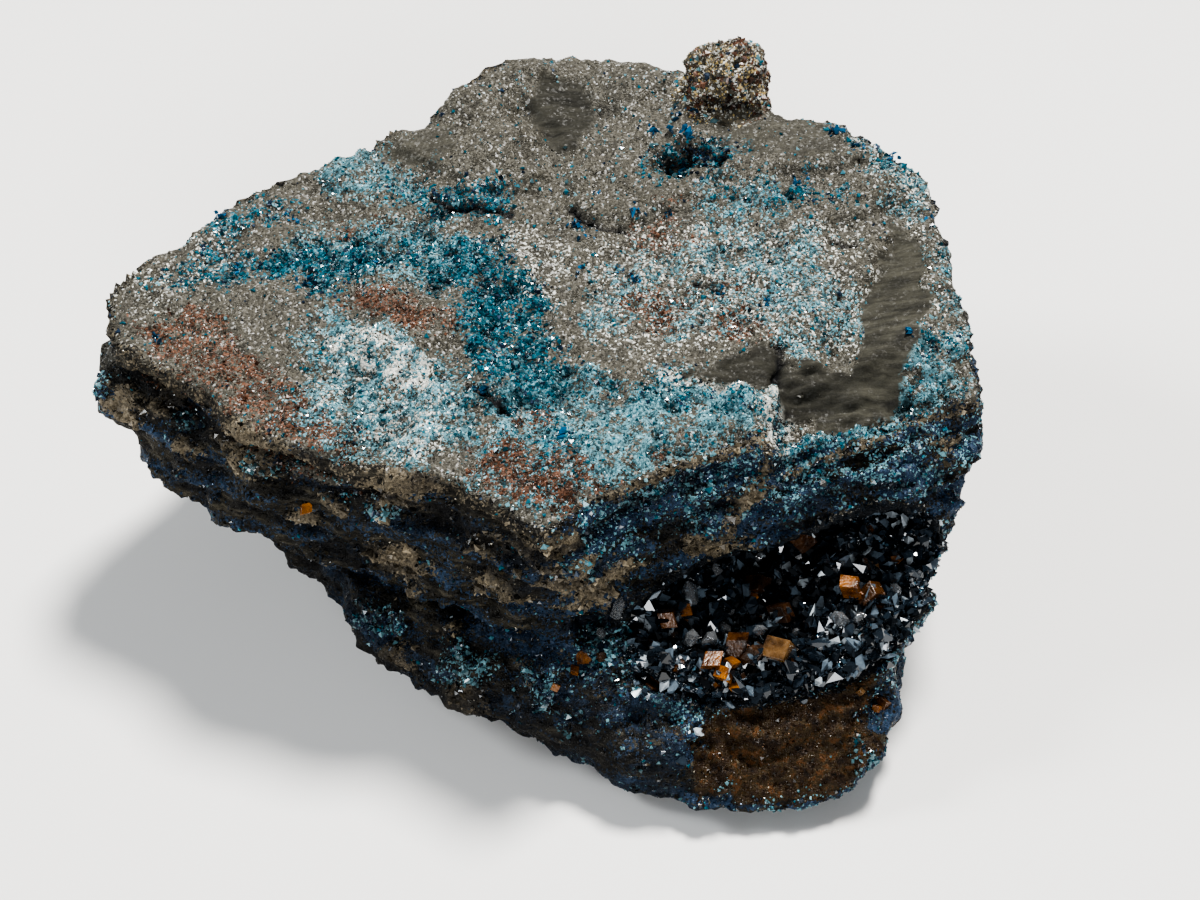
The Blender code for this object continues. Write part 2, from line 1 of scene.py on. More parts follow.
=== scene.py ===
"""Lazulite cluster: the looks.

A hand-sized piece of layered rock. Its flat top is a sugary crust of gray-brown, rusty, pale and blue
grains, its broken sides are dark and bedded, and a pocket in its front holds amber siderite rhombs, clear
quartz and small blue-black lazulite crystals. The settings' lengths are in metres, as Blender's are. All
other lengths are in millimetres, and +Z is up.
"""

import math

import bmesh
import bpy
import numpy as np
from bpy.props import FloatProperty, FloatVectorProperty, IntProperty, PointerProperty
from mathutils import Matrix, Vector, noise
from mathutils.bvhtree import BVHTree


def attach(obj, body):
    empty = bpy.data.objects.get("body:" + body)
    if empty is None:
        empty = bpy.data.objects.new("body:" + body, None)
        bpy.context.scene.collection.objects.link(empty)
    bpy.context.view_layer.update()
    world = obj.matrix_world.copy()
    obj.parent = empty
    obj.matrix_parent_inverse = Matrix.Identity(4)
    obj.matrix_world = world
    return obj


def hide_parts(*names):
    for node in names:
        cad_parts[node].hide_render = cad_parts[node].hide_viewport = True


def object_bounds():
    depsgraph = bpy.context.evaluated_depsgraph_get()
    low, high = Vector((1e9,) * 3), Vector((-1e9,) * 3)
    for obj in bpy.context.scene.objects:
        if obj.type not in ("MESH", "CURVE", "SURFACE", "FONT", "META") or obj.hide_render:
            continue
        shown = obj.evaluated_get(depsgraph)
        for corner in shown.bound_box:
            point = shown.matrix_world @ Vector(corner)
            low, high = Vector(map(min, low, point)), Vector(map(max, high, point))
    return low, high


bl_info = {
    "name": "Lazulite cluster",
    "version": (1, 0, 0),
    "blender": (4, 5, 0),
    "location": "3D View > Sidebar > Lazulite",
    "description": "Builds the rock, its grains and the crystals in its pocket on the packed part",
    "category": "Object",
}

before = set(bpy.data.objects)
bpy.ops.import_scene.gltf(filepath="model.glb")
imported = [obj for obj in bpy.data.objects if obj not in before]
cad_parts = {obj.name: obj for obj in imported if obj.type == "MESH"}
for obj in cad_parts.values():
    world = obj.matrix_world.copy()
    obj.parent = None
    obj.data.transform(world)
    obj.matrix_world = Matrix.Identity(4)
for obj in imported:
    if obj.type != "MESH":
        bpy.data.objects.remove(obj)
CAD_BOX = [list(corner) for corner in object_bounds()]

MM = 0.001
SHIFT = np.array([0.1, -3.8, 0.0])  # from the frame that patches are drawn in to the part's own frame
BOX_MARGIN = 0.001  # how far inside the part's box every point is kept
TOP_Z = 36.5  # height of the top bedding plane at y = 0, where patches are drawn
TOP_TILT = 0.10  # rise of that plane per millimetre away from the front

# Outline of the top's grainy sheet, from above in the part's frame: in front of it the broken sides begin
TOP_OUTLINE = [
    (-64, 3), (-54.4, -0.8), (-50.6, -4.8), (-43.6, -9.4), (-36.4, -16.3), (-29.8, -21.0), (-24.7, -23.2),
    (-18.5, -23.8), (-9.8, -26.5), (-3.5, -30.6), (1.6, -34.8), (6.2, -31.0), (11.0, -27.5), (16.0, -24.9),
    (20.9, -22.4), (25.3, -20.3), (28.6, -18.0), (30.4, -21.0), (32.3, -21.8), (39.9, -18.3),
    (46.4, -15.4), (55.6, -11.7), (64, -9), (64, 64), (-64, 64),
]

# Patches of the top, drawn from above: the share of such grains there, and the outline
LIGHT_PATCHES = [
    (1.00, [(-30, 1), (-29, -13), (-23.6, -18.6), (-17.4, -20), (-11.4, -17), (-6.3, -18.5), (-6.7, -6),
            (-13.2, -4.3), (-18.7, 2.8), (-25.3, 4.6)]),
    (0.95, [(-6.2, -22), (3.6, -28), (10.9, -25), (20.9, -19), (29.7, -16), (30.6, -6.6), (19.9, -5.9),
            (11, -8.8), (3.4, -4.3), (-4.2, -6)]),
    (0.75, [(-29, 31), (-26.8, 36), (-21.7, 34), (-16.3, 31.4), (-16, 28), (-24, 27)]),
    (0.45, [(-24, 14), (-20, 10), (-12, 11), (-8, 20), (-14, 24), (-28, 24), (-34, 20), (-30, 15)]),
    (0.55, [(10, 12), (14, 17), (20, 18), (24, 15), (20, 10), (15, 8), (12, 3), (8, 2), (6, 6)]),
    (0.55, [(24, 12), (28, 20), (36, 21), (42, 14), (42, 3), (34, 2), (30, 6), (24, 4), (18, 2), (16, 6)]),
    (0.40, [(20, 22), (23, 30), (30, 31), (36, 27), (33, 21)]),
    (0.75, [(46.6, 2), (54.9, 2), (56.5, -6), (52, -11), (45, -11), (43, -7)]),
    (0.90, [(31, -15), (36, -12), (44, -10.5), (56, -12), (58, -8), (56, -6), (58, -20), (30, -22)]),
    (0.50, [(52, 18), (56, 22), (58, 10), (56, 0), (54, 6)]),
    (0.35, [(42, 42.8), (56, 38), (56, 24), (48, 28)]),
]
DEEP_PATCHES = [
    (0.80, [(-36, 16), (-31, 11), (-24.4, 12), (-14, 15.5), (-16, 19), (-22, 20.5), (-27.7, 20), (-33, 19)]),
    (0.85, [(-14.2, 17.6), (-9, 5), (-7, -5), (-1.6, -9.4), (2.2, -7.7), (2.6, 1), (-0.5, 10), (-5.9, 18.5),
            (-10.3, 19)]),
    (0.55, [(-22, 29), (-15, 24.4), (-3.7, 24.6), (-4.6, 29.4), (-12, 30.6)]),
    (0.70, [(-8.2, -8.5), (-5, -12.5), (-2, -12), (-4, -7)]),
    (0.75, [(0.5, -14), (4.5, -13), (5.5, -17), (2, -19.5), (-0.5, -17)]),
    (0.45, [(-42, 22), (-34, 23), (-34, 26), (-40, 26)]),
    (0.45, [(-48, 12), (-40, 12), (-36, 18), (-44, 18)]),
    (0.55, [(47, 2), (50, 4), (53, 1), (51, -2), (48, -1)]),
    (0.45, [(14, 34), (18, 31), (26, 30), (27, 35), (21, 38), (16, 37)]),
    (0.45, [(30, 27), (36, 29), (42, 28), (40, 26), (32, 25)]),
    (0.35, [(31, -15), (36, -12), (44, -10.5), (58, -10), (58, -20), (30, -22)]),
    (0.45, [(8, -8), (14, -7.5), (27, -8.5), (27, -11), (14, -11)]),
    (0.12, [(42, 42.8), (55.9, 37.6), (54.7, 25.4), (50, 29), (44, 36)]),
]
RUST_PATCHES = [
    (0.52, [(-52, 4), (-46, -5), (-37, -13), (-29, -17), (-22, -19), (-20.5, -15), (-27, -10.5), (-31, -6),
            (-35, -1), (-44, 6)]),
    (0.85, [(-23, 8), (-20, 11), (-15.5, 7), (-11, 3), (-14, 0.5), (-19, 3)]),
    (1.00, [(-6, -17), (-1, -14.5), (3, -18), (7, -23), (6, -29), (-1, -25), (-6, -21)]),
    (0.80, [(-2, -12), (2, -11), (3.5, -13.5), (0.5, -15.5), (-2, -14)]),
    (0.55, [(12, 10), (17, 12), (19, 6), (15, 3), (12, 6)]),
    (0.50, [(22, 9), (27, 11), (28, 3), (24, 2)]),
    (0.35, [(14, 21), (17, 26), (20, 25), (20, 21), (16, 16)]),
    (0.60, [(7, -25), (13, -23), (22, -18.5), (29, -16), (29, -18), (20, -22), (10, -29)]),
    (0.35, [(-30, 20), (-26, 24), (-22, 22), (-26, 19)]),
]
PALE_PATCHES = [
    (0.58, [(-27, 0), (-22, 3), (-17, 1), (-14, -3), (-11, -7), (-15, -9), (-21, -6), (-26, -3)]),
    (0.34, [(-18, -12), (-13, -11), (-9, -15), (-11, -18.5), (-17, -18)]),
    (0.80, [(29.5, -8.6), (34.0, -10.4), (36.0, -12.2), (33.0, -13.4), (30.0, -12.0)]),
    (0.90, [(17, -5.4), (30.8, -5.8), (31.6, -9), (31.6, -19), (29, -19), (28.8, -8.2), (17, -7.8)]),
    (0.30, [(-4, 20), (0, 23), (4, 17), (3, 9), (-1, 10)]),
    (0.16, [(-29, 0), (-28, -12), (-18, -19), (-10, -17), (-8, -8), (-14, -3), (-20, 2)]),
    (0.16, [(8, 20), (16, 23), (42, 22), (50, 10), (46, -2), (30, 2), (14, -4), (6, 2)]),
    (0.10, [(50, 24), (57, 24), (57, 0), (50, 2)]),
    (0.24, [(42, 42.8), (56, 38), (56, 24), (48, 28)]),
    (0.16, [(-56, 20), (-44, 26), (-40, 16), (-50, 6), (-56, 10)]),
]
SMOOTH_PATCHES = [  # broken or slipped faces with hardly a grain on them
    (1.0, [(48.5, 23), (51.5, 21), (51.8, 8), (49, -1), (45.5, -9), (41.5, -9), (40, -4), (43, 3), (43.2, 9),
           (46.2, 16)]),
    (1.0, [(19.3, -5.4), (29.5, 0.4), (31.4, -1), (31.2, -6.6)]),
    (1.0, [(31.5, -3), (44, -3), (44, -10), (37, -11.8), (34.6, -9.6), (31.5, -8.4)]),
    (0.75, [(-24, 33), (-19, 38), (-13, 40), (-12, 36), (-15.5, 32.6), (-20, 34.5)]),
    (1.0, [(0, 52), (6, 51), (7.5, 42), (3, 36.5), (-1, 42)]),
    (0.6, [(24, 45), (33, 46), (42, 40), (40, 35), (31, 34), (26, 38)]),
]
# The smooth face with deep ridges, between the pocket's roof and the slipped face
SCAR = [(1.0, [(30.5, -2), (45, -2), (45, -11), (36, -12.5), (30.5, -9)])]
RECESS_FILL = [  # the shallow part of the recess beside the knob
    (1.0, [(19.2, 34.4), (20.6, 30.6), (25.6, 29.8), (29.0, 33.0), (26.4, 36.6), (22.6, 37.6), (21.0, 36.0)])]
COARSE_PATCHES = [
    (0.8, [(42, 42.8), (56, 38), (56, 26), (50, 29), (44, 36)]),
    (0.3, [(14, 34), (26, 30), (28, 36), (16, 40)]),
]
PAINTED_SHADE_PATCHES = [  # painted shade on faces that the light misses and in hollows
    (0.30, [(0, 52), (6, 51), (7.5, 42), (3, 36.5), (-1, 42)]),
    (0.28, [(31.5, -3), (41, -3.4), (42, -8), (36, -10), (34.6, -9.6), (31.5, -8.4)]),
    (0.45, [(-7, -7), (-3.5, -8.6), (-2.6, -11.6), (-6.6, -10.4)]),
    (0.25, [(19.3, -5.4), (29.5, 0.4), (31.4, -1), (31.2, -6.6)]),
    (0.50, [(47.2, 1.6), (49.6, 2.6), (51.6, 1.2), (49.4, 0.2)]),
    (0.22, [(52, 26), (60, 26), (60, 2), (54, 4)]),
]
CRACKS = [  # half width, and the line drawn from above
    (0.75, [(-14.3, 27.6), (-11.8, 25.6), (-8.6, 26.2), (-5.4, 25.3), (-3.6, 24.6)]),
    (0.55, [(4.9, 24.8), (6.0, 23.4), (7.8, 23.0), (9.0, 21.9), (11.0, 22.1), (12.4, 21.3)]),
    (0.60, [(16.4, 36.2), (18.2, 35.2), (18.8, 33.2), (20.8, 31.8), (22.6, 32.2), (25.0, 31.4)]),
    (0.55, [(30.8, 0.4), (31.9, 0.6), (31.4, -2.6), (30.8, -5.4)]),
    (0.45, [(-23.2, -12.6), (-20.4, -11.3), (-17.6, -10.4)]),
    (0.80, [(-8.0, -7.6), (-5.4, -9.2), (-3.2, -11.4)]),
    (0.50, [(33.6, 27.3), (36.2, 26.2)]),
    (0.50, [(39.8, 19.8), (41.6, 18.8), (43.0, 19.2)]),
    (0.50, [(21.0, 11.2), (24.4, 10.4)]),
]
SPOTS = [  # single crystals on the top: the place drawn from above, and the size
    (5.1, 22.5, 1.5), (7.2, 20.5, 1.5), (5.8, 13.8, 1.6), (14.0, 24.8, 1.7), (13.4, 12.6, 1.3),
    (19.6, 43.6, 1.7), (21.8, 44.8, 1.5), (15.6, 40.2, 1.6), (19.6, 39.6, 2.2), (20.2, 34.6, 1.6),
    (52.6, 24.4, 1.9), (41.4, 40.0, 2.0), (44.6, 36.0, 1.6), (48.6, 34.6, 1.3), (36.6, 30.8, 1.4),
    (35.0, 29.6, 1.3), (24.6, 10.6, 1.5), (-48.8, 2.2, 1.4), (-43.0, 24.6, 1.5), (-40.2, 16.4, 1.4),
    (-6.0, -7.7, 1.8), (4.8, -15.5, 1.9), (30.2, 8.6, 1.4), (48.9, 2.0, 1.2), (10.8, 15.0, 1.0),
    (17.8, 24.4, 1.2), (8.4, 29.0, 1.1), (-34.2, 24.0, 1.3), (-30.4, 12.0, 1.5), (-21.0, 14.8, 1.4),
]
OUTER_SIDERITE = [  # crystals on the outer faces, as a place in the part's frame and a size
    (6.7, -36.6, 13.6, 1.7), (8.8, -36.4, 14.0, 1.3), (5.3, -38.2, 12.4, 1.1), (11.7, -35.4, 14.0, 1.2),
    (3.1, -39.8, 11.6, 1.0), (14.7, -41.2, 11.5, 1.2), (-28.4, -23.0, 25.9, 1.3), (41.0, -40.9, 11.6, 0.8),
    (43.4, -41.5, 9.4, 0.8),
]
OUTER_QUARTZ = [(10.7, -33.1, 18.5, 2.2), (8.3, -35.4, 16.0, 1.4), (12.9, -37.4, 13.5, 1.5)]
TAN_LUMPS = [  # coarse tan places on the sides: the middle in the part's frame, and the reach
    (-36.9, -15.9, 31.2, 3.4), (-33.7, -18.3, 34.0, 3.0), (-16.8, -24.7, 30.8, 3.0),
    (-14.8, -25.3, 33.1, 2.4), (-52.4, -7.5, 28.7, 2.6), (-47.4, -8.3, 31.2, 2.0),
    (23.0, -26.7, 24.1, 2.4), (27.3, -23.7, 29.1, 1.6), (-16.7, -26.4, 20.2, 3.0),
    (-3.8, -33.5, 22.2, 2.6), (4.0, -33.0, 27.0, 3.0), (36.0, -10.8, 33.4, 1.8), (8.0, -34.0, 22.0, 3.0),
    (3.8, -34.4, 31.0, 2.4), (-6.1, -31.8, 28.2, 2.0), (-1.0, -34.4, 30.0, 2.0), (-43.0, -12.6, 27.0, 1.8),
    (-24.0, -23.0, 27.4, 1.5), (-28.4, -23.0, 24.6, 1.6), (-11.0, -32.0, 14.0, 1.8),
    (-17.0, -32.4, 9.0, 1.6), (-7.8, -38.6, 8.0, 1.8), (12.0, -32.2, 24.0, 1.8), (52.4, -15.6, 30.0, 1.5),
]
BLUE_LUMPS = [  # clumps of light blue crystals on the sides: the middle in the part's frame, and the reach
    (11.1, -34.2, 13.8, 2.9), (9.8, -36.2, 14.4, 1.9), (-55.6, -2.6, 29.2, 1.9), (-33.0, -18.9, 29.6, 1.8),
    (-20.4, -28.6, 11.1, 2.2), (-8.8, -35.8, 10.6, 2.6), (1.0, -39.6, 11.2, 2.0), (14.8, -26.5, 31.2, 1.6),
    (21.5, -24.0, 30.6, 1.5), (36.0, -20.6, 30.0, 1.9), (46.0, -20.0, 28.6, 2.0), (24.0, -49.8, 5.4, 1.2),
    (-18.0, -25.4, 28.4, 1.6), (-45.0, -11.6, 30.0, 1.4), (5.6, -42.0, 8.8, 1.6), (42.0, -47.0, 6.4, 2.0),
]
TAN_LINES = [  # thin tan and brown lines on the front: half width, and points in the part's frame
    (1.0, [(28.9, -14.3, 35.7), (29.1, -19.5, 34.5), (29.2, -21.6, 31.3), (27.3, -23.7, 29.1),
           (25.4, -25.7, 27.5), (23.0, -26.7, 24.1)]),
    (0.8, [(32.3, -22.2, 31.0), (39.9, -18.3, 32.2), (46.4, -15.4, 33.3), (55.6, -11.7, 33.3)]),
    (1.0, [(1.5, -32.5, 34.0), (10.8, -27.8, 33.6), (16.0, -24.8, 34.0), (21.2, -22.8, 34.2),
           (28.6, -19.6, 34.6)]),
]

# The pocket: its lens in the part's frame, and its crystals as x, y and size where patches are drawn
POCKET_CENTRE = (30.9, -28.8, 16.8)
POCKET_SLOPE = (0.10, 0.10)
POCKET_RADII = (22.2, 17.2)
POCKET_FLOOR = 4.4  # deepest place, below the middle plane
POCKET_ROOF = 5.9  # highest place, above the middle plane
POCKET_FLARE = 0.09  # rise of the roof per millimetre to the right
DRUSE_CELL = 0.00034  # edge of the cells of the druse's mesh, in metres
SIDERITE = [
    (40.2, -25.0, 2.2), (41.6, -17.4, 3.7), (48.2, -19.2, 2.1), (49.4, -16.6, 2.1), (31.3, -27.7, 2.3),
    (17.1, -27.5, 2.1), (19.4, -25.6, 1.6), (25.6, -32.6, 2.5), (27.8, -34.3, 2.1), (30.7, -34.0, 2.9),
    (22.3, -34.6, 2.3), (16.6, -34.0, 2.9), (19.6, -34.9, 2.0), (23.8, -36.6, 1.5), (28.6, -23.3, 2.5),
    (24.6, -35.2, 1.6), (42.8, -25.6, 2.1), (35.0, -16.0, 2.4), (25.4, -37.4, 1.3), (44.0, -36.6, 1.3),
]
QUARTZ = [
    (38.2, -20.8, 4.2), (42.2, -22.4, 3.2), (20.0, -23.6, 2.8), (14.4, -25.6, 3.0), (19.8, -31.1, 2.9),
    (35.6, -29.2, 3.0), (38.6, -29.4, 2.8), (41.2, -29.2, 2.2), (22.2, -31.0, 2.4), (28.4, -30.4, 2.6),
    (24.3, -28.5, 2.2), (33.4, -24.6, 2.2), (46.0, -24.6, 2.2), (33.6, -31.6, 1.8),
]
SMALL_QUARTZ = 60  # quartz crystals strewn between those of the list
LOBE_BREAK = ((26.0, -39.6, 12.0), (0.05, -0.66, 0.75))  # a point of the lobe's broken face and its facing
LOBE_BREAK_LEFT = 18.6  # where that face begins, in the frame that patches are drawn in
FRONT_LUMP = BLUE_LUMPS[:2]  # the blue clump that closes the pocket's left end
KNOB = (26.5, 44.8, 43.2, 6.4)  # middle and reach of the knob on the back edge
KNOB_FACES = [  # flat sides of the knob: facing, and distance from its middle
    ((0.1, 0.2, 1.0), 6.0), ((-0.55, -0.3, 0.75), 5.5), ((0.95, -0.2, 0.25), 5.2), ((0.1, -1.0, 0.15),
    4.3), ((-1.0, -0.1, 0.1), 5.3), ((0.0, 1.0, 0.0), 4.7), ((0.8, -0.2, -0.6), 4.4), ((0.5, -0.6, 0.65),
    4.9), ((-0.7, -0.6, -0.3), 4.9),
]
SEED = 7
FAR = 1e9

CAMERA_TARGET = (8.6, -5.8, 20.0)
CAMERA_DISTANCE = 310.0
CAMERA_DOWN = 43.0  # degrees below level
FLOOR_REACH = 6000.0
FLOOR_DROP = 0.02  # the floor lies this far under the rock, so that the two don't coincide


class RockSettings(bpy.types.PropertyGroup):
    """Sizes and colours of the rock"""

    mesh_cell: FloatProperty(
        name="Mesh cell", description="Edge of the cells that the rock's mesh is made of",
        default=0.00061, min=0.0005, max=0.003, precision=5, unit="LENGTH")
    relief: FloatProperty(
        name="Relief", description="Height of the fine relief all over the rock",
        default=0.0003, min=0.0, max=0.001, precision=5, unit="LENGTH")
    ledge_depth: FloatProperty(
        name="Ledge depth", description="How far beds stand out on the broken sides",
        default=0.0012, min=0.0, max=0.0025, precision=5, unit="LENGTH")
    grain_size: FloatProperty(
        name="Grain size", description="Size of the painted grains between the modelled ones",
        default=0.00029, min=0.0001, max=0.002, precision=5, unit="LENGTH")
    matrix_colour: FloatVectorProperty(
        name="Matrix", description="Colour of the sugary ground rock",
        default=(0.098, 0.091, 0.072), min=0, max=1, subtype="COLOR")
    # The sides are dark rock, and their colour is kept darker still as painted shade, as the light from
    # behind leaves them unlit
    side_colour: FloatVectorProperty(
        name="Sides", description="Colour of the dark beds on the sides",
        default=(0.019, 0.0165, 0.0115), min=0, max=1, subtype="COLOR")
    navy_colour: FloatVectorProperty(
        name="Navy crust", description="Colour of the blue-black crust on the sides",
        default=(0.022, 0.044, 0.082), min=0, max=1, subtype="COLOR")
    tan_colour: FloatVectorProperty(
        name="Tan lumps", description="Colour of the coarse tan places on the sides",
        default=(0.150, 0.124, 0.085), min=0, max=1, subtype="COLOR")
    break_colour: FloatVectorProperty(
        name="Broken face", description="Colour of the rusty broken face of the lower lobe",
        default=(0.036, 0.0175, 0.0062), min=0, max=1, subtype="COLOR")
    knob_colour: FloatVectorProperty(
        name="Knob", description="Colour of the coarse knob at the back",
        default=(0.62, 0.46, 0.20), min=0, max=1, subtype="COLOR")
    slip_colour: FloatVectorProperty(
        name="Smooth faces", description="Colour of the smooth slipped and broken faces on the top",
        default=(0.056, 0.053, 0.041), min=0, max=1, subtype="COLOR")


class GrainSettings(bpy.types.PropertyGroup):
    """Sizes, numbers and colours of the grains"""

    small: FloatProperty(
        name="Smallest grain", description="Size of the smallest grains",
        default=0.00024, min=0.0001, max=0.001, precision=5, unit="LENGTH")
    large: FloatProperty(
        name="Largest grain", description="Size of the largest grains",
        default=0.00085, min=0.0003, max=0.003, precision=5, unit="LENGTH")
    matrix_count: IntProperty(
        name="Matrix grains", description="Number of gray-brown grains",
        default=22500, min=100, max=24900)
    light_count: IntProperty(
        name="Light blue grains", description="Number of light blue grains",
        default=21000, min=100, max=24900)
    deep_count: IntProperty(
        name="Deep blue grains", description="Number of deep blue grains",
        default=11000, min=100, max=24900)
    rust_count: IntProperty(
        name="Rusty grains", description="Number of rusty grains",
        default=8000, min=100, max=24900)
    side_count: IntProperty(
        name="Side grains", description="Number of grains on the broken sides",
        default=21500, min=100, max=24900)
    light_colour: FloatVectorProperty(
        name="Light blue", description="Colour of the light blue grains",
        default=(0.165, 0.325, 0.365), min=0, max=1, subtype="COLOR")
    deep_colour: FloatVectorProperty(
        name="Deep blue", description="Colour of the deep blue and teal grains",
        default=(0.018, 0.140, 0.188), min=0, max=1, subtype="COLOR")
    rust_colour: FloatVectorProperty(
        name="Rust", description="Colour of the rusty grains",
        default=(0.160, 0.076, 0.045), min=0, max=1, subtype="COLOR")
    pale_colour: FloatVectorProperty(
        name="Pale", description="Colour of the whitish grains",
        default=(0.66, 0.66, 0.60), min=0, max=1, subtype="COLOR")


class PocketSettings(bpy.types.PropertyGroup):
    """Sizes, numbers and colours of the crystals in the pocket"""

    lazulite_count: IntProperty(
        name="Lazulite crystals", description="Number of small crystals that line the pocket",
        default=4000, min=10, max=12000)
    lazulite_small: FloatProperty(
        name="Smallest lazulite", description="Size of the smallest of those crystals",
        default=0.0006, min=0.0002, max=0.002, precision=5, unit="LENGTH")
    lazulite_large: FloatProperty(
        name="Largest lazulite", description="Size of the largest of those crystals",
        default=0.0021, min=0.0004, max=0.004, precision=5, unit="LENGTH")
    lazulite_colour: FloatVectorProperty(
        name="Lazulite", description="Colour of the blue-black crystals",
        default=(0.0125, 0.0185, 0.0255), min=0, max=1, subtype="COLOR")
    siderite_colour: FloatVectorProperty(
        name="Siderite", description="Colour of the amber rhombs",
        default=(0.46, 0.175, 0.030), min=0, max=1, subtype="COLOR")
    quartz_colour: FloatVectorProperty(
        name="Quartz", description="Colour of the clear crystals",
        default=(0.86, 0.89, 0.92), min=0, max=1, subtype="COLOR")


class StageSettings(bpy.types.PropertyGroup):
    """Floor and light of the stage"""

    floor_colour: FloatVectorProperty(
        name="Floor", description="Colour of the plain floor",
        default=(0.80, 0.79, 0.77), min=0, max=1, subtype="COLOR")
    key_power: FloatProperty(
        name="Key light", description="Strength of the large soft light behind and above",
        default=5.0, min=0.0, max=100.0)
    side_power: FloatProperty(
        name="Side light", description="Strength of the soft light from the left",
        default=1.5, min=0.0, max=100.0)
    fill_power: FloatProperty(
        name="Fill light", description="Strength of the weak light in front",
        default=1.5, min=0.0, max=100.0)
    sky: FloatProperty(
        name="Room light", description="Strength of the even light from all round",
        default=0.16, min=0.0, max=5.0)


def smooth_step(value):
    """A soft rise from 0 to 1 while the value goes from 0 to 1."""
    t = np.clip(value, 0.0, 1.0)
    return t * t * (3.0 - 2.0 * t)


def roughness_at(points, wavelength, seed, octaves=3):
    """Fractal noise at each point, from about -1 to 1. The wavelength may differ along x, y and z."""
    places = points / np.broadcast_to(wavelength, 3) + 19.7 * seed
    return np.array([noise.fractal(Vector(place), 0.8, 2.1, octaves) for place in places])


def segment_distance(x, y, start, end):
    """Distance to a straight line between two points, seen from above."""
    ex, ey = end[0] - start[0], end[1] - start[1]
    along = np.clip(((x - start[0]) * ex + (y - start[1]) * ey) / (ex * ex + ey * ey), 0.0, 1.0)
    return np.hypot(x - start[0] - along * ex, y - start[1] - along * ey)


def inside_depth(x, y, outline):
    """Distance to an outline seen from above, positive inside it."""
    nearest = np.full(np.shape(x), FAR)
    inside = np.zeros(np.shape(x), bool)
    for (ax, ay), (bx, by) in zip(outline, outline[1:] + outline[:1]):
        nearest = np.minimum(nearest, segment_distance(x, y, (ax, ay), (bx, by)))
        crosses = (ay > y) != (by > y)
        rise = by - ay
        inside ^= crosses & (x < ax + (y - ay) * (bx - ax) / (rise if rise else 1e-9))
    return np.where(inside, nearest, -nearest)


def line_distance(x, y, line):
    """Distance to a line of points seen from above."""
    nearest = np.full(np.shape(x), FAR)
    for start, end in zip(line, line[1:]):
        nearest = np.minimum(nearest, segment_distance(x, y, start, end))
    return nearest


def line_reach(points, line):
    """Distance to a line of points in space."""
    nearest = np.full(len(points), FAR)
    for start, end in zip(np.array(line), np.array(line)[1:]):
        ahead = end - start
        along = np.clip(((points - start) @ ahead) / (ahead @ ahead), 0.0, 1.0)
        nearest = np.minimum(nearest, np.linalg.norm(points - start - along[:, None] * ahead, axis=1))
    return nearest


def lump_share(points, places, seed):
    """How much each point belongs to one of some round lumps with uneven edges."""
    share = np.zeros(len(points))
    uneven = roughness_at(points, (3.2, 3.2, 1.4), seed, 4)
    for lump in places:
        reach = np.linalg.norm((points - np.array(lump[:3])) * (0.8, 0.8, 1.35), axis=1) / lump[3]
        share = np.maximum(share, smooth_step((1.25 - reach + uneven) / 0.4))
    return share


def patch_share(x, y, patches, wander, feather):
    """The share of a kind of grain at each point, from its patches with edges that wander."""
    share = np.zeros(np.shape(x))
    for amount, outline in patches:
        within = smooth_step(0.5 + (inside_depth(x, y, outline) + wander) / feather)
        share = np.maximum(share, amount * within)
    return share


def pocket_middle(x, y):
    """Height of the pocket's middle plane in the part's frame."""
    along_x = POCKET_SLOPE[0] * (x - POCKET_CENTRE[0])
    along_y = POCKET_SLOPE[1] * (y - POCKET_CENTRE[1])
    return POCKET_CENTRE[2] + along_x + along_y


def pocket_zones(points, top):
    """How far out in the pocket's lens each point is, with the pocket's share of it and its front edge's."""
    x, y, z = points.T
    lens = np.hypot((x - POCKET_CENTRE[0]) / (POCKET_RADII[0] + 0.6),
                    (y - POCKET_CENTRE[1]) / (POCKET_RADII[1] + 0.6))
    middle = pocket_middle(x, y)
    swell = np.sqrt(np.clip(1.0 - lens**4, 0.0, 1.0))
    floor = middle - POCKET_FLOOR * swell
    roof = middle + (POCKET_ROOF + POCKET_FLARE * (x - POCKET_CENTRE[0])) * swell
    pocket = smooth_step((1.03 - lens) / 0.04) * (1.0 - top)
    pocket *= smooth_step((roof + 1.5 - z) / 0.7) * smooth_step((z - floor + 0.9) / 0.5)
    rim = pocket * smooth_step((middle + 2.5 - z) / 2.0)
    rim *= np.maximum(smooth_step((lens - 0.84) / 0.08), smooth_step((-38.5 - y) / 2.0))
    return lens, pocket, rim


def lobe_break(points, normals, pocket):
    """How much each point belongs to the flat, rusty break of the lower lobe."""
    x, _, z = (points - SHIFT).T
    place, facing = (np.array(value) for value in LOBE_BREAK)
    facing = facing / np.linalg.norm(facing)
    off = (points - SHIFT - place) @ facing
    ragged = 0.5 * roughness_at(points, 3.0, 4)
    left_edge = LOBE_BREAK_LEFT + 1.7 * np.maximum(z - 9.5, 0.0) + 1.2 * np.maximum(7.0 - z, 0.0)
    broken = smooth_step((1.9 - np.abs(off - ragged)) / 0.5)
    broken *= smooth_step((x - left_edge + 7 * ragged) / 1.6)
    broken *= smooth_step((normals @ facing - 0.55) / 0.15)
    broken *= smooth_step((15.5 - z) / 1.2) * smooth_step((z - 3.0) / 1.2) * (1.0 - pocket)
    return broken


def crack_share(points, x, y):
    """How much each point belongs to one of the cracks of the top."""
    crack = np.zeros(len(points))
    for half_width, line in CRACKS:
        near = half_width + 0.05 - line_distance(x, y, line) + 0.35 * roughness_at(points, 1.2, 7)
        crack = np.maximum(crack, smooth_step(near / 0.35))
    return crack


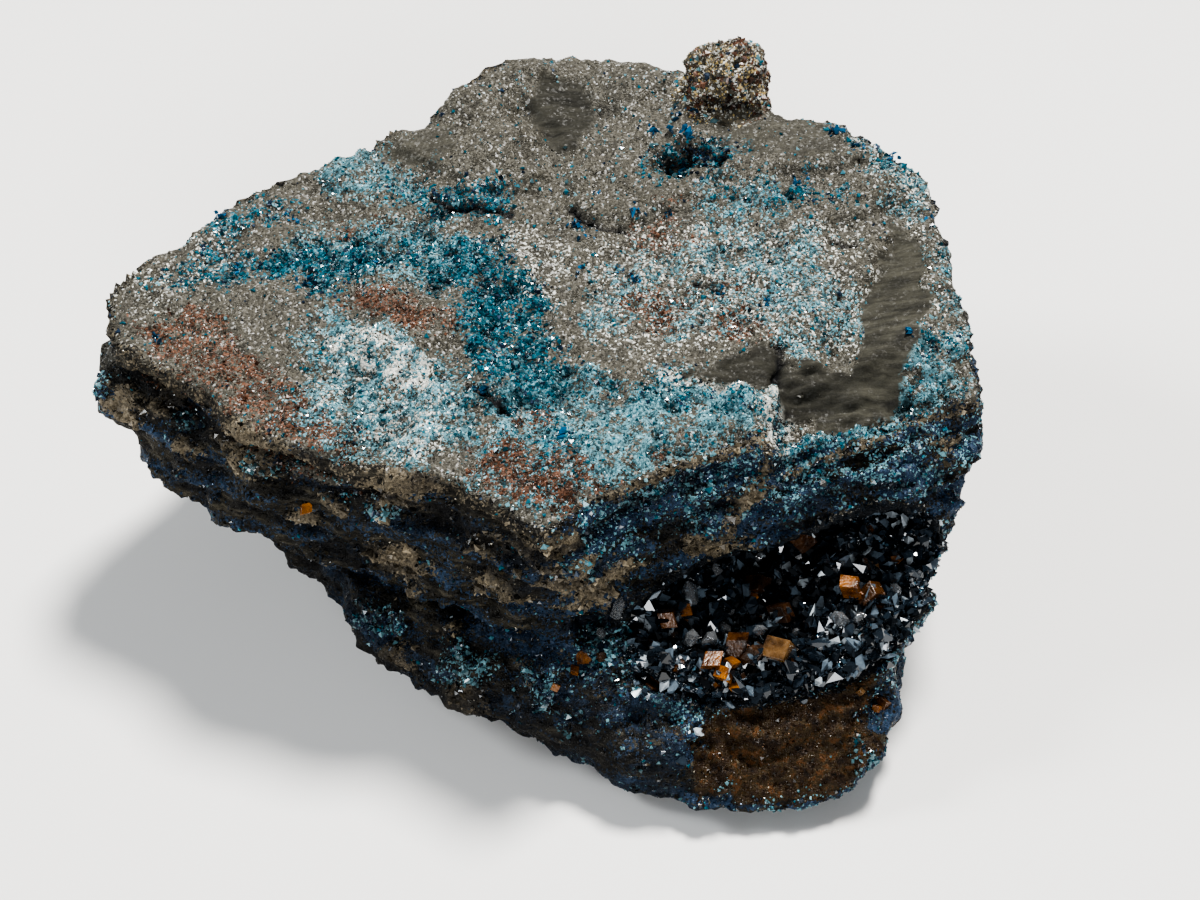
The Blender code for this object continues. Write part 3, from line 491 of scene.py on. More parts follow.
def zones_of(points, normals):
    """For each point of the rock's skin, how much it belongs to each kind of ground, from 0 to 1."""
    across, along, z = points.T
    x, y = (points - SHIFT).T[:2]
    depth = TOP_Z + TOP_TILT * y - z
    top = smooth_step((normals[:, 2] - 0.30) / 0.35) * smooth_step((9.0 - depth) / 2.0)
    inside = inside_depth(across, along, TOP_OUTLINE) + 0.5 * roughness_at(points, 2.0, 10)
    top *= smooth_step(0.5 + inside)
    wander = 3.6 * roughness_at(points, 6.0, 1, 4) + 2.2 * roughness_at(points, 1.6, 2)
    lens, pocket, rim = pocket_zones(points, top)
    front_lump = lump_share(points, FRONT_LUMP, 33) * (1.0 - top)
    pocket *= 1.0 - front_lump
    broken = lobe_break(points, normals, pocket)

    # The broken sides, from their top sheet down: beds, crusts and coarse lumps
    side = (1.0 - top) * (1.0 - pocket)
    lumps = lump_share(points, TAN_LUMPS, 5)
    blue_lumps = lump_share(points, BLUE_LUMPS, 27) * side
    for half_width, line in TAN_LINES:
        near = half_width + 0.35 * roughness_at(points, 1.5, 9) - line_reach(points, line)
        lumps = np.maximum(lumps, 0.85 * smooth_step(0.5 + near / 0.7))
    beds = roughness_at(points, (12.0, 12.0, 2.4), 6, 4)
    ledges = roughness_at(points, (9.0, 9.0, 2.0), 12, 3)
    left = smooth_step((8.0 - across) / 10.0) * side
    sheet = smooth_step((2.9 + 1.6 * beds - depth) / 0.8) * left
    undercut = smooth_step((depth - 3.3 - 1.6 * beds) / 0.8)
    undercut = undercut * smooth_step((6.4 + 2.0 * beds - depth) / 1.4) * left
    right_front = smooth_step((-6.0 - along) / 10.0) * smooth_step((across - 1.0) / 8.0)
    navy = np.clip(0.22 + 1.4 * beds + 0.50 * right_front, 0.03, 0.95)
    navy = navy * side * (1 - lumps) * (1 - broken) * (1 - sheet)
    navy *= 0.35 + 0.65 * np.maximum(smooth_step((10.0 - along) / 30.0),
                                     smooth_step(0.5 + 2.5 * roughness_at(points, 9.0, 37, 2)))
    high = smooth_step((10.0 - depth) / 5.0)
    bright = np.clip(0.26 + 1.2 * roughness_at(points, 2.4, 22), 0.0, 0.8)
    bright = right_front * high * bright * side * (1 - lumps)
    low_crust = smooth_step((5.2 - z) / 2.0) * smooth_step((across - 24.0) / 6.0) * side

    # The top: smooth faces, cracks, the knob and the patches of grains
    smooth = patch_share(x, y, SMOOTH_PATCHES, 0.35 * wander, 0.6) * top
    knob = smooth_step((KNOB[3] + 1.5 - np.linalg.norm(points - np.array(KNOB[:3]), axis=1)) / 1.2)
    crack = crack_share(points, x, y) * top
    fine = roughness_at(points, 0.9, 23, 2)
    clump = smooth_step(0.5 + 1.8 * roughness_at(points, 2.2, 3) + 1.3 * fine)
    speck = smooth_step(0.5 + 1.8 * roughness_at(points, 1.9, 31) - 1.3 * fine)
    rust = patch_share(x, y, RUST_PATCHES, wander, 3.0) * top * (0.5 + 0.9 * speck)
    light = patch_share(x, y, LIGHT_PATCHES, wander, 5.0) * top * (0.22 + 1.08 * clump) * (1 - 0.9 * rust)
    deep = patch_share(x, y, DEEP_PATCHES, wander, 4.4) * top * (0.40 + 0.90 * (1 - clump))
    pale = patch_share(x, y, PALE_PATCHES, 0.6 * wander, 2.4) * top * (0.25 + 1.1 * speck)

    # Painted shade: low places of the top, recessed ledges, the undercut below the sheet, the low left sides
    # and faces that the light misses are darkened, where less light falls
    hummocks = roughness_at(points, 3.4, 19, 3)
    hollow = smooth_step((-0.12 - hummocks) / 0.45) * np.clip(0.4 + deep + light, 0, 1) * top * 0.62
    hollow = np.maximum(hollow, smooth_step((-0.10 - ledges) / 0.40) * side * (1 - broken) * 0.8)
    hollow = np.maximum(hollow, 0.88 * undercut)
    # Painted shade on the low left sides, in uneven patches
    low_left = smooth_step((16.0 - z) / 9.0) * smooth_step((21.0 - across) / 6.0) * side
    patchy_shade = np.clip(0.62 - 0.6 * roughness_at(points, 4.0, 36, 2), 0, 0.85)
    hollow = np.maximum(hollow, patchy_shade * low_left * (1 - front_lump))
    hollow = np.maximum(hollow, patch_share(x, y, PAINTED_SHADE_PATCHES, 0.4 * wander, 1.4) * top)

    # The pocket's lip and mouth
    middle = pocket_middle(across, along)
    off_middle = np.abs(z - middle)
    lip = smooth_step((1.17 + 0.05 * wander - lens) / 0.06) * smooth_step((8.0 - off_middle) / 2.0)
    lip = lip * side * (1 - broken) * smooth_step((middle + 2.0 - z) / 2.0)
    mouth = smooth_step((0.24 - np.abs(lens - 1.0)) / 0.12) * (1 - top)
    mouth = mouth * smooth_step((9.0 - off_middle) / 2.0)

    light_blue = [light, 0.8 * bright, 0.4 * low_crust * clump, 0.35 * lip * clump,
                  0.50 * blue_lumps * (0.3 + clump), 0.95 * front_lump]
    rusty_knob = 0.45 * knob * smooth_step(roughness_at(points, 3.2, 18) * 3.0)
    cluster = 0.5 + 0.8 * roughness_at(points, 1.3, 8) + 0.35 * roughness_at(points, 5.5, 24)
    return {
        "all": np.ones(len(points)),
        "top": top,
        "side": side * (1 - 0.9 * knob),
        "light": np.clip(np.maximum.reduce(light_blue), 0, 1),
        "deep": np.clip(deep, 0, 1),
        "rust": np.clip(rust + rusty_knob, 0, 1),
        "pale": np.clip(pale + 0.28 * knob, 0, 1),
        "navy": navy,
        "tan": np.clip(lumps * (1 - top) * (1 - pocket) + 0.6 * knob + 0.25 * sheet, 0, 1),
        "right front": right_front * (1 - lumps) * side,
        "lumps": lumps * side,
        "blue lumps": np.maximum(blue_lumps, 1.5 * front_lump),
        "pocket": pocket,
        "rim": rim,
        "lip": lip,
        "mouth": mouth,
        "sheet": sheet,
        "undercut": undercut,
        "ledges": ledges,
        "hummocks": hummocks,
        # painted shade, which also darkens the cracks
        "hollow": np.maximum(hollow, crack),
        "cluster": np.clip(cluster, 0, 1),
        "coarse": patch_share(x, y, COARSE_PATCHES, wander, 3.0),
        "broken": broken,
        "smooth": smooth,
        "crack": crack,
        "knob": knob,
    }


def mesh_from(name, points, faces):
    """A mesh from points in millimetres and faces that all have the same number of corners."""
    made = bpy.data.meshes.new(name)
    corners = faces.shape[1]
    made.vertices.add(len(points))
    made.vertices.foreach_set("co", (points * MM).astype(np.float32).ravel())
    made.loops.add(faces.size)
    made.loops.foreach_set("vertex_index", faces.astype(np.int32).ravel())
    made.polygons.add(len(faces))
    made.polygons.foreach_set("loop_start", np.arange(0, faces.size, corners, dtype=np.int32))
    made.update(calc_edges=True)
    made.validate()
    made.shade_flat()
    return made


def placed(name, mesh, slot, *stands_for):
    """An object for a finished mesh, riding on the part and standing for some of its nodes."""
    piece = bpy.data.objects.new(name, mesh)
    bpy.context.scene.collection.objects.link(piece)
    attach(piece, "root")
    if stands_for:
        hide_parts(*stands_for)
    return piece


def set_colours(mesh, name, colours):
    """Stores a colour for each point."""
    layer = mesh.attributes.new(name, "FLOAT_COLOR", "POINT")
    filled = np.ones((len(colours), 4), np.float32)
    filled[:, : colours.shape[1]] = colours
    layer.data.foreach_set("color", filled.ravel())


def fine_copy(node, cell):
    """An evenly meshed copy of a node's mesh."""
    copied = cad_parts[node].data.copy()
    welded = bmesh.new()
    welded.from_mesh(copied)
    bmesh.ops.remove_doubles(welded, verts=welded.verts, dist=1e-7)
    welded.to_mesh(copied)
    welded.free()
    source = bpy.data.objects.new("fine copy", copied)
    bpy.context.scene.collection.objects.link(source)
    remesh = source.modifiers.new("Even cells", "REMESH")
    remesh.mode = "VOXEL"
    remesh.voxel_size = cell
    fine = bpy.data.meshes.new_from_object(source.evaluated_get(bpy.context.evaluated_depsgraph_get()))
    bpy.data.objects.remove(source)
    bpy.data.meshes.remove(copied)
    return fine


def points_of(mesh):
    """A mesh's points in millimetres, and their normals."""
    points = np.empty(len(mesh.vertices) * 3, np.float32)
    mesh.vertices.foreach_get("co", points)
    normals = np.empty(len(mesh.vertices) * 3, np.float32)
    mesh.vertex_normals.foreach_get("vector", normals)
    return points.reshape(-1, 3).astype(float) / MM, normals.reshape(-1, 3).astype(float)


def inside_box(points):
    """Points kept just inside the part's box."""
    low, high = (np.array(corner) / MM for corner in CAD_BOX)
    return np.clip(points, low + BOX_MARGIN, high - BOX_MARGIN)


def move_points(mesh, points):
    """Moves a mesh's points, kept just inside the part's box."""
    mesh.vertices.foreach_set("co", (inside_box(points) * MM).astype(np.float32).ravel())
    mesh.update()


def triangles_of(mesh):
    """A mesh's triangles, as the numbers of their points."""
    mesh.calc_loop_triangles()
    corners = np.empty(len(mesh.loop_triangles) * 3, np.int32)
    mesh.loop_triangles.foreach_get("vertices", corners)
    return corners.reshape(-1, 3)


def tone_ramp(colour, glint=1.0, range_of=1.0):
    """Tones of one colour, from its deepest shade through itself to a pale glint on the last few grains."""
    base = np.array(colour[:3])
    return [(0.0, base * (1 - 0.88 * range_of)), (0.28, base * (1 - 0.55 * range_of)), (0.62, base),
            (0.88, base * (1 + 0.5 * range_of) + 0.03 * glint), (0.95, base * 1.2 + 0.24 * glint),
            (1.0, base * 0.7 + 0.66 * glint)]


def tones_at(colour, shade, glint=1.0, range_of=1.0):
    """The same tones for an array of shades."""
    stops = tone_ramp(colour, glint, range_of)
    where = [stop for stop, _ in stops]
    return np.stack([np.interp(shade, where, [tone[k] for _, tone in stops]) for k in range(3)], axis=1)


def scaled(colour, factor):
    """A colour made darker or lighter."""
    return [factor * part for part in colour]


def material(name):
    """A new material, its node tree and its shader."""
    made = bpy.data.materials.new(name)
    made.use_nodes = True
    return made, made.node_tree, made.node_tree.nodes["Principled BSDF"]


def feed(tree, node, values):
    """Gives a node's inputs their fixed values, or links other nodes' outputs to them."""
    for name, value in values.items():
        if isinstance(value, bpy.types.NodeSocket):
            tree.links.new(value, node.inputs[name])
        else:
            node.inputs[name].default_value = value


def add_node(tree, kind, values=None, **settings):
    """Adds a node with some settings, and inputs that are fixed values or other nodes' outputs."""
    node = tree.nodes.new(kind)
    for name, value in settings.items():
        setattr(node, name, value)
    feed(tree, node, values or {})
    return node


def math_node(tree, operation, *values):
    """A Math node whose inputs are numbers or other nodes' outputs."""
    return add_node(tree, "ShaderNodeMath", dict(enumerate(values)), operation=operation).outputs[0]


def vector_node(tree, operation, values):
    """A Vector Math node, its inputs given by number or name."""
    return add_node(tree, "ShaderNodeVectorMath", values, operation=operation).outputs[0]


def object_place(tree):
    """Each place in the piece's own coordinates, in metres."""
    return add_node(tree, "ShaderNodeTexCoord").outputs["Object"]


def noise_node(tree, place, scale, detail, roughness=0.5):
    """The value of a noise texture at each place."""
    values = {"Vector": place, "Scale": scale, "Detail": detail, "Roughness": roughness}
    return add_node(tree, "ShaderNodeTexNoise", values).outputs["Fac"]


def mix_colours(tree, share, under, over, blend="MIX"):
    """Two colours mixed by a share. Each may be a fixed value or another node's output."""
    values = {0: share, 6: under, 7: over}
    return add_node(tree, "ShaderNodeMix", values, data_type="RGBA", blend_type=blend).outputs[2]


def ramp_node(tree, factor, stops):
    """A colour ramp, fed by an output."""
    node = add_node(tree, "ShaderNodeValToRGB", {"Fac": factor})
    elements = node.color_ramp.elements
    while len(elements) < len(stops):
        elements.new(0.5)
    for element, (place, colour) in zip(elements, stops):
        element.position = place
        element.color = (*[min(float(part), 1.0) for part in colour], 1.0)
    return node.outputs["Color"]


def gray_ramp(tree, factor, stops):
    """A ramp of grays, for roughness and shading."""
    return ramp_node(tree, factor, [(place, (gray,) * 3) for place, gray in stops])


def new_group(name, inputs, outputs):
    """An empty node group with these sockets, and its input and output nodes."""
    tree = bpy.data.node_groups.new(name, "ShaderNodeTree")
    for label, kind, default in inputs:
        socket = tree.interface.new_socket(label, in_out="INPUT", socket_type=kind)
        socket.default_value = default
    for label, kind in outputs:
        tree.interface.new_socket(label, in_out="OUTPUT", socket_type=kind)
    return tree, tree.nodes.new("NodeGroupInput"), tree.nodes.new("NodeGroupOutput")


def grain_cells_group():
    """Grains packed side by side: two random numbers for each, its rounded height, and a facet's normal."""
    found = bpy.data.node_groups.get("Grain cells")
    if found:
        return found
    tree, given, result = new_group(
        "Grain cells",
        [("Scale", "NodeSocketFloat", 2400.0), ("Facet Tilt", "NodeSocketFloat", 0.8)],
        [("Pick", "NodeSocketFloat"), ("Shade", "NodeSocketFloat"), ("Height", "NodeSocketFloat"),
         ("Normal", "NodeSocketVector")])
    place = object_place(tree)
    wave = noise_node(tree, place, 900.0, 1.0).node.outputs["Color"]
    bent = vector_node(tree, "MULTIPLY_ADD", {0: wave, 1: (0.0005, 0.0005, 0.0005), 2: place})
    cells = add_node(tree, "ShaderNodeTexVoronoi", {"Vector": bent, "Scale": given.outputs["Scale"]})
    parts = add_node(tree, "ShaderNodeSeparateColor", {"Color": cells.outputs["Color"]})
    centred = vector_node(tree, "SUBTRACT", {0: cells.outputs["Color"], 1: (0.5, 0.5, 0.5)})
    leaning = vector_node(tree, "SCALE", {0: centred, "Scale": given.outputs["Facet Tilt"]})
    skin = add_node(tree, "ShaderNodeNewGeometry").outputs["Normal"]
    summed = vector_node(tree, "ADD", {0: leaning, 1: skin})
    feed(tree, result, {
        "Pick": parts.outputs[0],
        "Shade": parts.outputs[1],
        "Height": math_node(tree, "SUBTRACT", 1.0, cells.outputs["Distance"]),
        "Normal": vector_node(tree, "NORMALIZE", {0: summed}),
    })
    return tree


def grain_layer_group():
    """Lets a share of the grains take another colour. Turn makes each layer choose other grains."""
    found = bpy.data.node_groups.get("Grain layer")
    if found:
        return found
    gray = (0.5, 0.5, 0.5, 1)
    tree, given, result = new_group(
        "Grain layer",
        [("Under", "NodeSocketColor", gray), ("Over", "NodeSocketColor", gray),
         ("Share", "NodeSocketFloat", 0.5), ("Pick", "NodeSocketFloat", 0.5),
         ("Turn", "NodeSocketFloat", 0.0)],
        [("Color", "NodeSocketColor")])
    turned = math_node(tree, "MULTIPLY_ADD", given.outputs["Pick"], 7.3, given.outputs["Turn"])
    lot = math_node(tree, "FRACT", turned)
    chosen = math_node(tree, "LESS_THAN", lot, given.outputs["Share"])
    mixed = mix_colours(tree, chosen, given.outputs["Under"], given.outputs["Over"])
    tree.links.new(mixed, result.inputs["Color"])
    return tree


def use_group(tree, group, values):
    """Places a node group, its inputs fixed values or other nodes' outputs."""
    return add_node(tree, "ShaderNodeGroup", values, node_tree=group)


# The zones that the rock's material reads: the stored colour, and the zones in its four channels
ZONE_COLOURS = {
    "top zones": ("light", "deep", "rust", "pale"),
    "side zones": ("side", "navy", "tan", "hollow"),
    "bare zones": ("broken", "smooth", "pocket", "cluster"),
}


def zone_shares(tree):
    """The zones stored on the rock's points, as outputs by name."""
    shares = {}
    for attribute, names in ZONE_COLOURS.items():
        stored = add_node(tree, "ShaderNodeAttribute", attribute_name=attribute)
        parts = add_node(tree, "ShaderNodeSeparateColor", {"Color": stored.outputs["Color"]})
        shares.update(zip(names, [*parts.outputs, stored.outputs["Alpha"]]))
    return shares


def rock_material(settings, grains, pocket):
    """Packed grains whose colours follow the zones stored on the rock's points."""
    made, tree, shader = material("lazulite rock")
    cells = use_group(tree, grain_cells_group(), {"Scale": 1.0 / settings.grain_size, "Facet Tilt": 0.55})
    pick = cells.outputs["Pick"]
    shares = zone_shares(tree)
    place = object_place(tree)

    # Tones of the beds, the rusty break and the streaked smooth faces
    beds = add_node(tree, "ShaderNodeMapping", {"Vector": place, "Scale": (1.0, 1.0, 7.0)})
    dark, rusty, slip = (np.array(colour) for colour in
                         (settings.side_colour, settings.break_colour, settings.slip_colour))
    layering = noise_node(tree, beds.outputs["Vector"], 260.0, 5.0, 0.62)
    layered = ramp_node(tree, layering, [
        (0.32, dark * 0.08), (0.46, dark * 0.5), (0.56, dark * 1.5), (0.65, dark * 3.8), (0.75, dark * 6.5)])
    mottled = ramp_node(tree, noise_node(tree, place, 620.0, 5.0, 0.68), [
        (0.34, rusty * 0.15), (0.46, rusty * 0.8), (0.54, rusty * (1.1, 1.5, 1.6)),
        (0.62, rusty * (2.4, 2.0, 1.6)), (0.72, rusty * (3.0, 3.6, 4.4))])
    drawn_out = add_node(tree, "ShaderNodeMapping", {
        "Vector": place, "Rotation": (0.0, 0.0, -0.55), "Scale": (0.35, 2.2, 1.0)})
    streaked = ramp_node(tree, noise_node(tree, drawn_out.outputs["Vector"], 420.0, 5.0, 0.7), [
        (0.34, slip * 0.45), (0.52, slip), (0.66, slip * 1.5), (0.74, slip * 2.6)])

    # Grain by grain, each zone's colour over the ground's
    clustered = math_node(tree, "MULTIPLY", shares["cluster"], 0.45)
    shade = math_node(tree, "MULTIPLY_ADD", cells.outputs["Shade"], 0.55, clustered)
    colour = ramp_node(tree, cells.outputs["Shade"], tone_ramp(settings.matrix_colour, 0.6, 0.5))
    # The pocket's walls: the dark lazulite lining, kept near black as painted shade inside the pocket
    pocket_lining_and_shade = [(0.0, (0.001, 0.001, 0.002)), (0.7, scaled(pocket.lazulite_colour, 0.5)),
               (1.0, (0.008, 0.02, 0.035))]
    layers = [  # the zone, its colour, and a number that makes it choose its own grains
        ("side", layered, 0.11),
        ("rust", ramp_node(tree, shade, tone_ramp(grains.rust_colour)), 0.53),
        ("light", ramp_node(tree, shade, tone_ramp(grains.light_colour)), 0.71),
        ("deep", ramp_node(tree, shade, tone_ramp(grains.deep_colour, 0.4)), 0.23),
        ("pale", ramp_node(tree, shade, tone_ramp(grains.pale_colour, 1.0, 0.6)), 0.37),
        ("tan", ramp_node(tree, shade, tone_ramp(settings.tan_colour, 0.2)), 0.89),
        ("navy", ramp_node(tree, shade, tone_ramp(settings.navy_colour, 0.2)), 0.47),
        ("broken", mottled, 0.61),
        ("pocket", ramp_node(tree, shade, pocket_lining_and_shade), 0.0),
    ]
    for name, over, turn in layers:
        layer = use_group(tree, grain_layer_group(), {
            "Under": colour, "Over": over, "Share": shares[name], "Pick": pick, "Turn": turn})
        colour = layer.outputs["Color"]
    colour = mix_colours(tree, shares["smooth"], colour, streaked)
    # Painted shade: hollows, cracks, the undercut and unlit faces go near black
    colour = mix_colours(tree, shares["hollow"], colour, (0.006, 0.006, 0.007, 1.0))

    glint = gray_ramp(tree, pick, [(0.0, 0.7), (0.6, 0.6), (0.85, 0.4), (1.0, 0.18)])
    even = math_node(tree, "SUBTRACT", 1.0, shares["smooth"])
    packed = math_node(tree, "MULTIPLY", cells.outputs["Height"], even)
    fine = noise_node(tree, place, 5200.0, 2.0)
    skin = add_node(tree, "ShaderNodeNewGeometry").outputs["Normal"]
    normal = add_node(tree, "ShaderNodeMix", {0: shares["smooth"], 4: cells.outputs["Normal"], 5: skin},
                      data_type="VECTOR")
    bump = add_node(tree, "ShaderNodeBump", {
        "Strength": 0.7, "Distance": 0.0002, "Normal": normal.outputs[1],
        "Height": math_node(tree, "MULTIPLY_ADD", fine, 0.3, packed)})
    feed(tree, shader, {
        "Base Color": colour,
        "Roughness": math_node(tree, "MULTIPLY_ADD", shares["smooth"], 0.25, glint),
        "Normal": bump.outputs["Normal"],
        "Specular IOR Level": 0.25,
    })
    return made


def grain_material(name, roughness, coat):
    """A glassy grain whose colour is stored on its points, with a little cloudiness in it."""
    made, tree, shader = material(name)
    own = add_node(tree, "ShaderNodeAttribute", attribute_name="grain colour").outputs["Color"]
    cloud = noise_node(tree, object_place(tree), 2600.0, 2.0)
    clouded = gray_ramp(tree, cloud, [(0.3, 0.72), (0.7, 1.0)])
    feed(tree, shader, {
        "Base Color": mix_colours(tree, 1.0, own, clouded, "MULTIPLY"),
        "Roughness": gray_ramp(tree, cloud, [(0.35, roughness * 0.7), (0.7, roughness * 1.5)]),
        "Specular IOR Level": 0.4,
        "Coat Weight": coat,
        "Coat Roughness": 0.08,
    })
    return made


def spread_on(mesh, weight, count, chance):
    """Places on a mesh, chosen by area and by a weight for each point: place, normal and a point near it."""
    points, normals = points_of(mesh)
    triangles = triangles_of(mesh)
    corners = points[triangles]
    area = np.linalg.norm(np.cross(corners[:, 1] - corners[:, 0], corners[:, 2] - corners[:, 0]), axis=1)
    odds = area * weight[triangles].mean(axis=1)
    chosen = chance.choice(len(triangles), count, p=odds / odds.sum())
    mix = chance.dirichlet((1.0, 1.0, 1.0), count)
    place = (corners[chosen] * mix[:, :, None]).sum(axis=1)
    normal = normals[triangles[chosen]].mean(axis=1)
    normal /= np.linalg.norm(normal, axis=1, keepdims=True) + 1e-9
    return place, normal, triangles[chosen, 0]


def random_turns(count, chance):
    """Random turns as matrices, from evenly spread quaternions."""
    q = chance.normal(size=(count, 4))
    q /= np.linalg.norm(q, axis=1, keepdims=True)
    w, x, y, z = q.T
    return np.stack([
        np.stack([1 - 2 * (y * y + z * z), 2 * (x * y - z * w), 2 * (x * z + y * w)], axis=1),
        np.stack([2 * (x * y + z * w), 1 - 2 * (x * x + z * z), 2 * (y * z - x * w)], axis=1),
        np.stack([2 * (x * z - y * w), 2 * (y * z + x * w), 1 - 2 * (x * x + y * y)], axis=1),
    ], axis=1)


# A grain with eight facets, and a wedge-shaped crystal with a short edge at each end, both of unit size
GRAIN_POINTS = np.array([(0.5, 0, 0), (-0.5, 0, 0), (0, 0.5, 0), (0, -0.5, 0), (0, 0, 0.5), (0, 0, -0.5)])
GRAIN_FACES = np.array([
    (0, 2, 4), (2, 1, 4), (1, 3, 4), (3, 0, 4), (2, 0, 5), (1, 2, 5), (3, 1, 5), (0, 3, 5)])
WEDGE_POINTS = np.array([
    (0.44, 0.17, 0), (-0.37, 0.24, 0), (-0.42, -0.19, 0), (0.39, -0.23, 0),
    (-0.14, 0.04, -0.62), (0.14, 0.04, -0.62), (-0.14, 0.04, 0.62), (0.14, 0.04, 0.62)])
WEDGE_FACES = np.array([
    (0, 1, 6), (0, 6, 7), (1, 2, 6), (2, 3, 7), (2, 7, 6), (3, 0, 7),
    (1, 0, 4), (0, 5, 4), (2, 1, 4), (3, 2, 5), (2, 4, 5), (0, 3, 5)])


def strew(name, shape, faces, place, normal, size, sink, colours, chance, slot, finish):
    """One mesh of many small crystals, each turned at random and sunk a little into the rock."""
    count = len(place)
    stretch = chance.uniform(0.62, 1.4, (count, 1, 3))
    grown = shape[None] * stretch * chance.uniform(0.85, 1.15, (count, len(shape), 3))
    turned = np.einsum("nij,nkj->nki", random_turns(count, chance), grown * size[:, None, None])
    points = inside_box(turned + (place + normal * (size * sink)[:, None])[:, None])
    corners = (faces[None] + (np.arange(count) * len(shape))[:, None, None]).reshape(-1, 3)
    mesh = mesh_from(name, points.reshape(-1, 3), corners)
    set_colours(mesh, "grain colour", np.repeat(colours, len(shape), axis=0))
    give_bake_cells(mesh, count, faces)
    mesh.materials.append(finish)
    return placed(name, mesh, slot)


def give_bake_cells(mesh, count, faces):
    """A small cell of the map named OFBake for each crystal, with its triangles laid side by side."""
    across = math.ceil(math.sqrt(count))
    cell = 1.0 / across
    corner = np.array([(0.2, 0.2), (0.8, 0.2), (0.5, 0.8)]) * cell
    start = np.stack([np.arange(count) % across, np.arange(count) // across], axis=1) * cell
    places = start[:, None, None, :] + np.broadcast_to(corner, (1, len(faces), 3, 2))
    layer = mesh.uv_layers.new(name="OFBake")
    layer.uv.foreach_set("vector", places.astype(np.float32).ravel())


def grain_sizes(count, small, large, chance):
    """Sizes in millimetres, most of them near the small end."""
    return (small + (large - small) * chance.uniform(0, 1, count) ** 2.2) / MM


def shown_rock():
    """The rock's piece, once it is built."""
    return bpy.data.objects["rock_skin"]


def squared_knob(points, knob):
    """The rock's points with the knob pressed into a block with flat sides."""
    centre = np.array(KNOB[:3])
    out = points - centre
    reach = np.full(len(points), FAR)
    for facing, distance in KNOB_FACES:
        along = out @ (np.array(facing) / np.linalg.norm(facing))
        reach = np.minimum(reach, np.where(along > 0.05, distance / np.maximum(along, 0.05), FAR))
    blocky = np.clip(reach, 0.6, 1.0)[:, None] * out + centre
    share = (knob * smooth_step((points[:, 2] - 41.0) / 1.5))[:, None]
    return points * (1 - share) + blocky * share


def relief_at(points, squared, normals, zones, settings):
    """How far each point of the rock moves out along its normal."""
    knob, top, side, broken = (zones[key] for key in ("knob", "top", "side", "broken"))
    even = 1.0 - np.maximum(zones["smooth"], 0.75 * broken)
    rise = settings.relief / MM * roughness_at(points, 1.9, 11, 4) * even
    rise += 0.8 * settings.relief / MM * roughness_at(points, 0.9, 15, 2) * even

    # Beds, undercut and lumps of the sides, and the pocket's uneven mouth
    rounded = 1.0 - 0.5 * smooth_step((16.0 - points[:, 2]) / 8.0)
    rise += settings.ledge_depth / MM * zones["ledges"] * side * (1 - 0.8 * broken) * rounded
    rise -= 1.1 * zones["undercut"] - 0.5 * zones["sheet"] - 0.5 * zones["lumps"] - 0.7 * zones["blue lumps"]
    rise += 1.5 * roughness_at(points, 3.8, 26) * zones["mouth"]
    rise += 0.35 * roughness_at(points, 1.7, 28) * broken

    # Streaks of the smooth faces, drawn out across the rock, and the ridges of the scar
    x, y, z = points.T
    turned = np.stack([0.85 * x + 0.52 * y, 0.85 * y - 0.52 * x, z], axis=1)
    drawn = (points - SHIFT).T[:2]
    rise += 0.32 * roughness_at(turned, (8.0, 1.3, 8.0), 25) * zones["smooth"]
    rise += 1.7 * patch_share(*drawn, RECESS_FILL, 0.0, 1.6) * top
    scar = patch_share(*drawn, SCAR, 0.0, 1.0) * zones["smooth"]
    rise += 1.3 * np.abs(roughness_at(turned, (7.0, 2.6, 8.0), 35, 2)) * scar

    # Large unevenness of the sides, the knob and the top
    rise += 1.1 * roughness_at(points, 5.0, 13) * side * even * (1 - knob)
    rise += (0.7 * roughness_at(points, 3.4, 14) + 0.5 * roughness_at(points, 1.6, 17)) * knob
    rise += 1.1 * (0.35 + zones["deep"] + zones["light"]) * zones["hummocks"] * top * even
    rise += 0.9 * roughness_at(squared, 9.0, 30, 2) * top * even * (1 - knob)
    rise -= 0.8 * zones["crack"]
    resting = smooth_step((0.5 - z) / 0.3) * smooth_step((-0.8 - normals[:, 2]) / 0.15)
    return rise * (1.0 - resting)


class BuildRock(bpy.types.Operator):
    """Build the rock with its beds, broken faces, cracks and painted grains"""

    bl_idname = "lazulite.rock"
    bl_label = "Rock"

    def execute(self, context):
        settings, grains = context.scene.lazulite_rock, context.scene.lazulite_grains
        mesh = fine_copy("rock", settings.mesh_cell)
        points, normals = points_of(mesh)
        if not len(points):
            raise RuntimeError("the rock's mesh came out empty")
        zones = zones_of(points, normals)
        squared = squared_knob(points, zones["knob"])
        rise = relief_at(points, squared, normals, zones, settings)
        move_points(mesh, squared + normals * rise[:, None])
        for name, keys in ZONE_COLOURS.items():
            set_colours(mesh, name, np.stack([zones[key] for key in keys], axis=1))
        mesh.polygons.foreach_set("use_smooth", np.ones(len(mesh.polygons), bool))
        mesh.materials.clear()
        mesh.materials.append(rock_material(settings, grains, context.scene.lazulite_pocket))
        placed("rock_skin", mesh, "matrix", "rock")
        return {"FINISHED"}


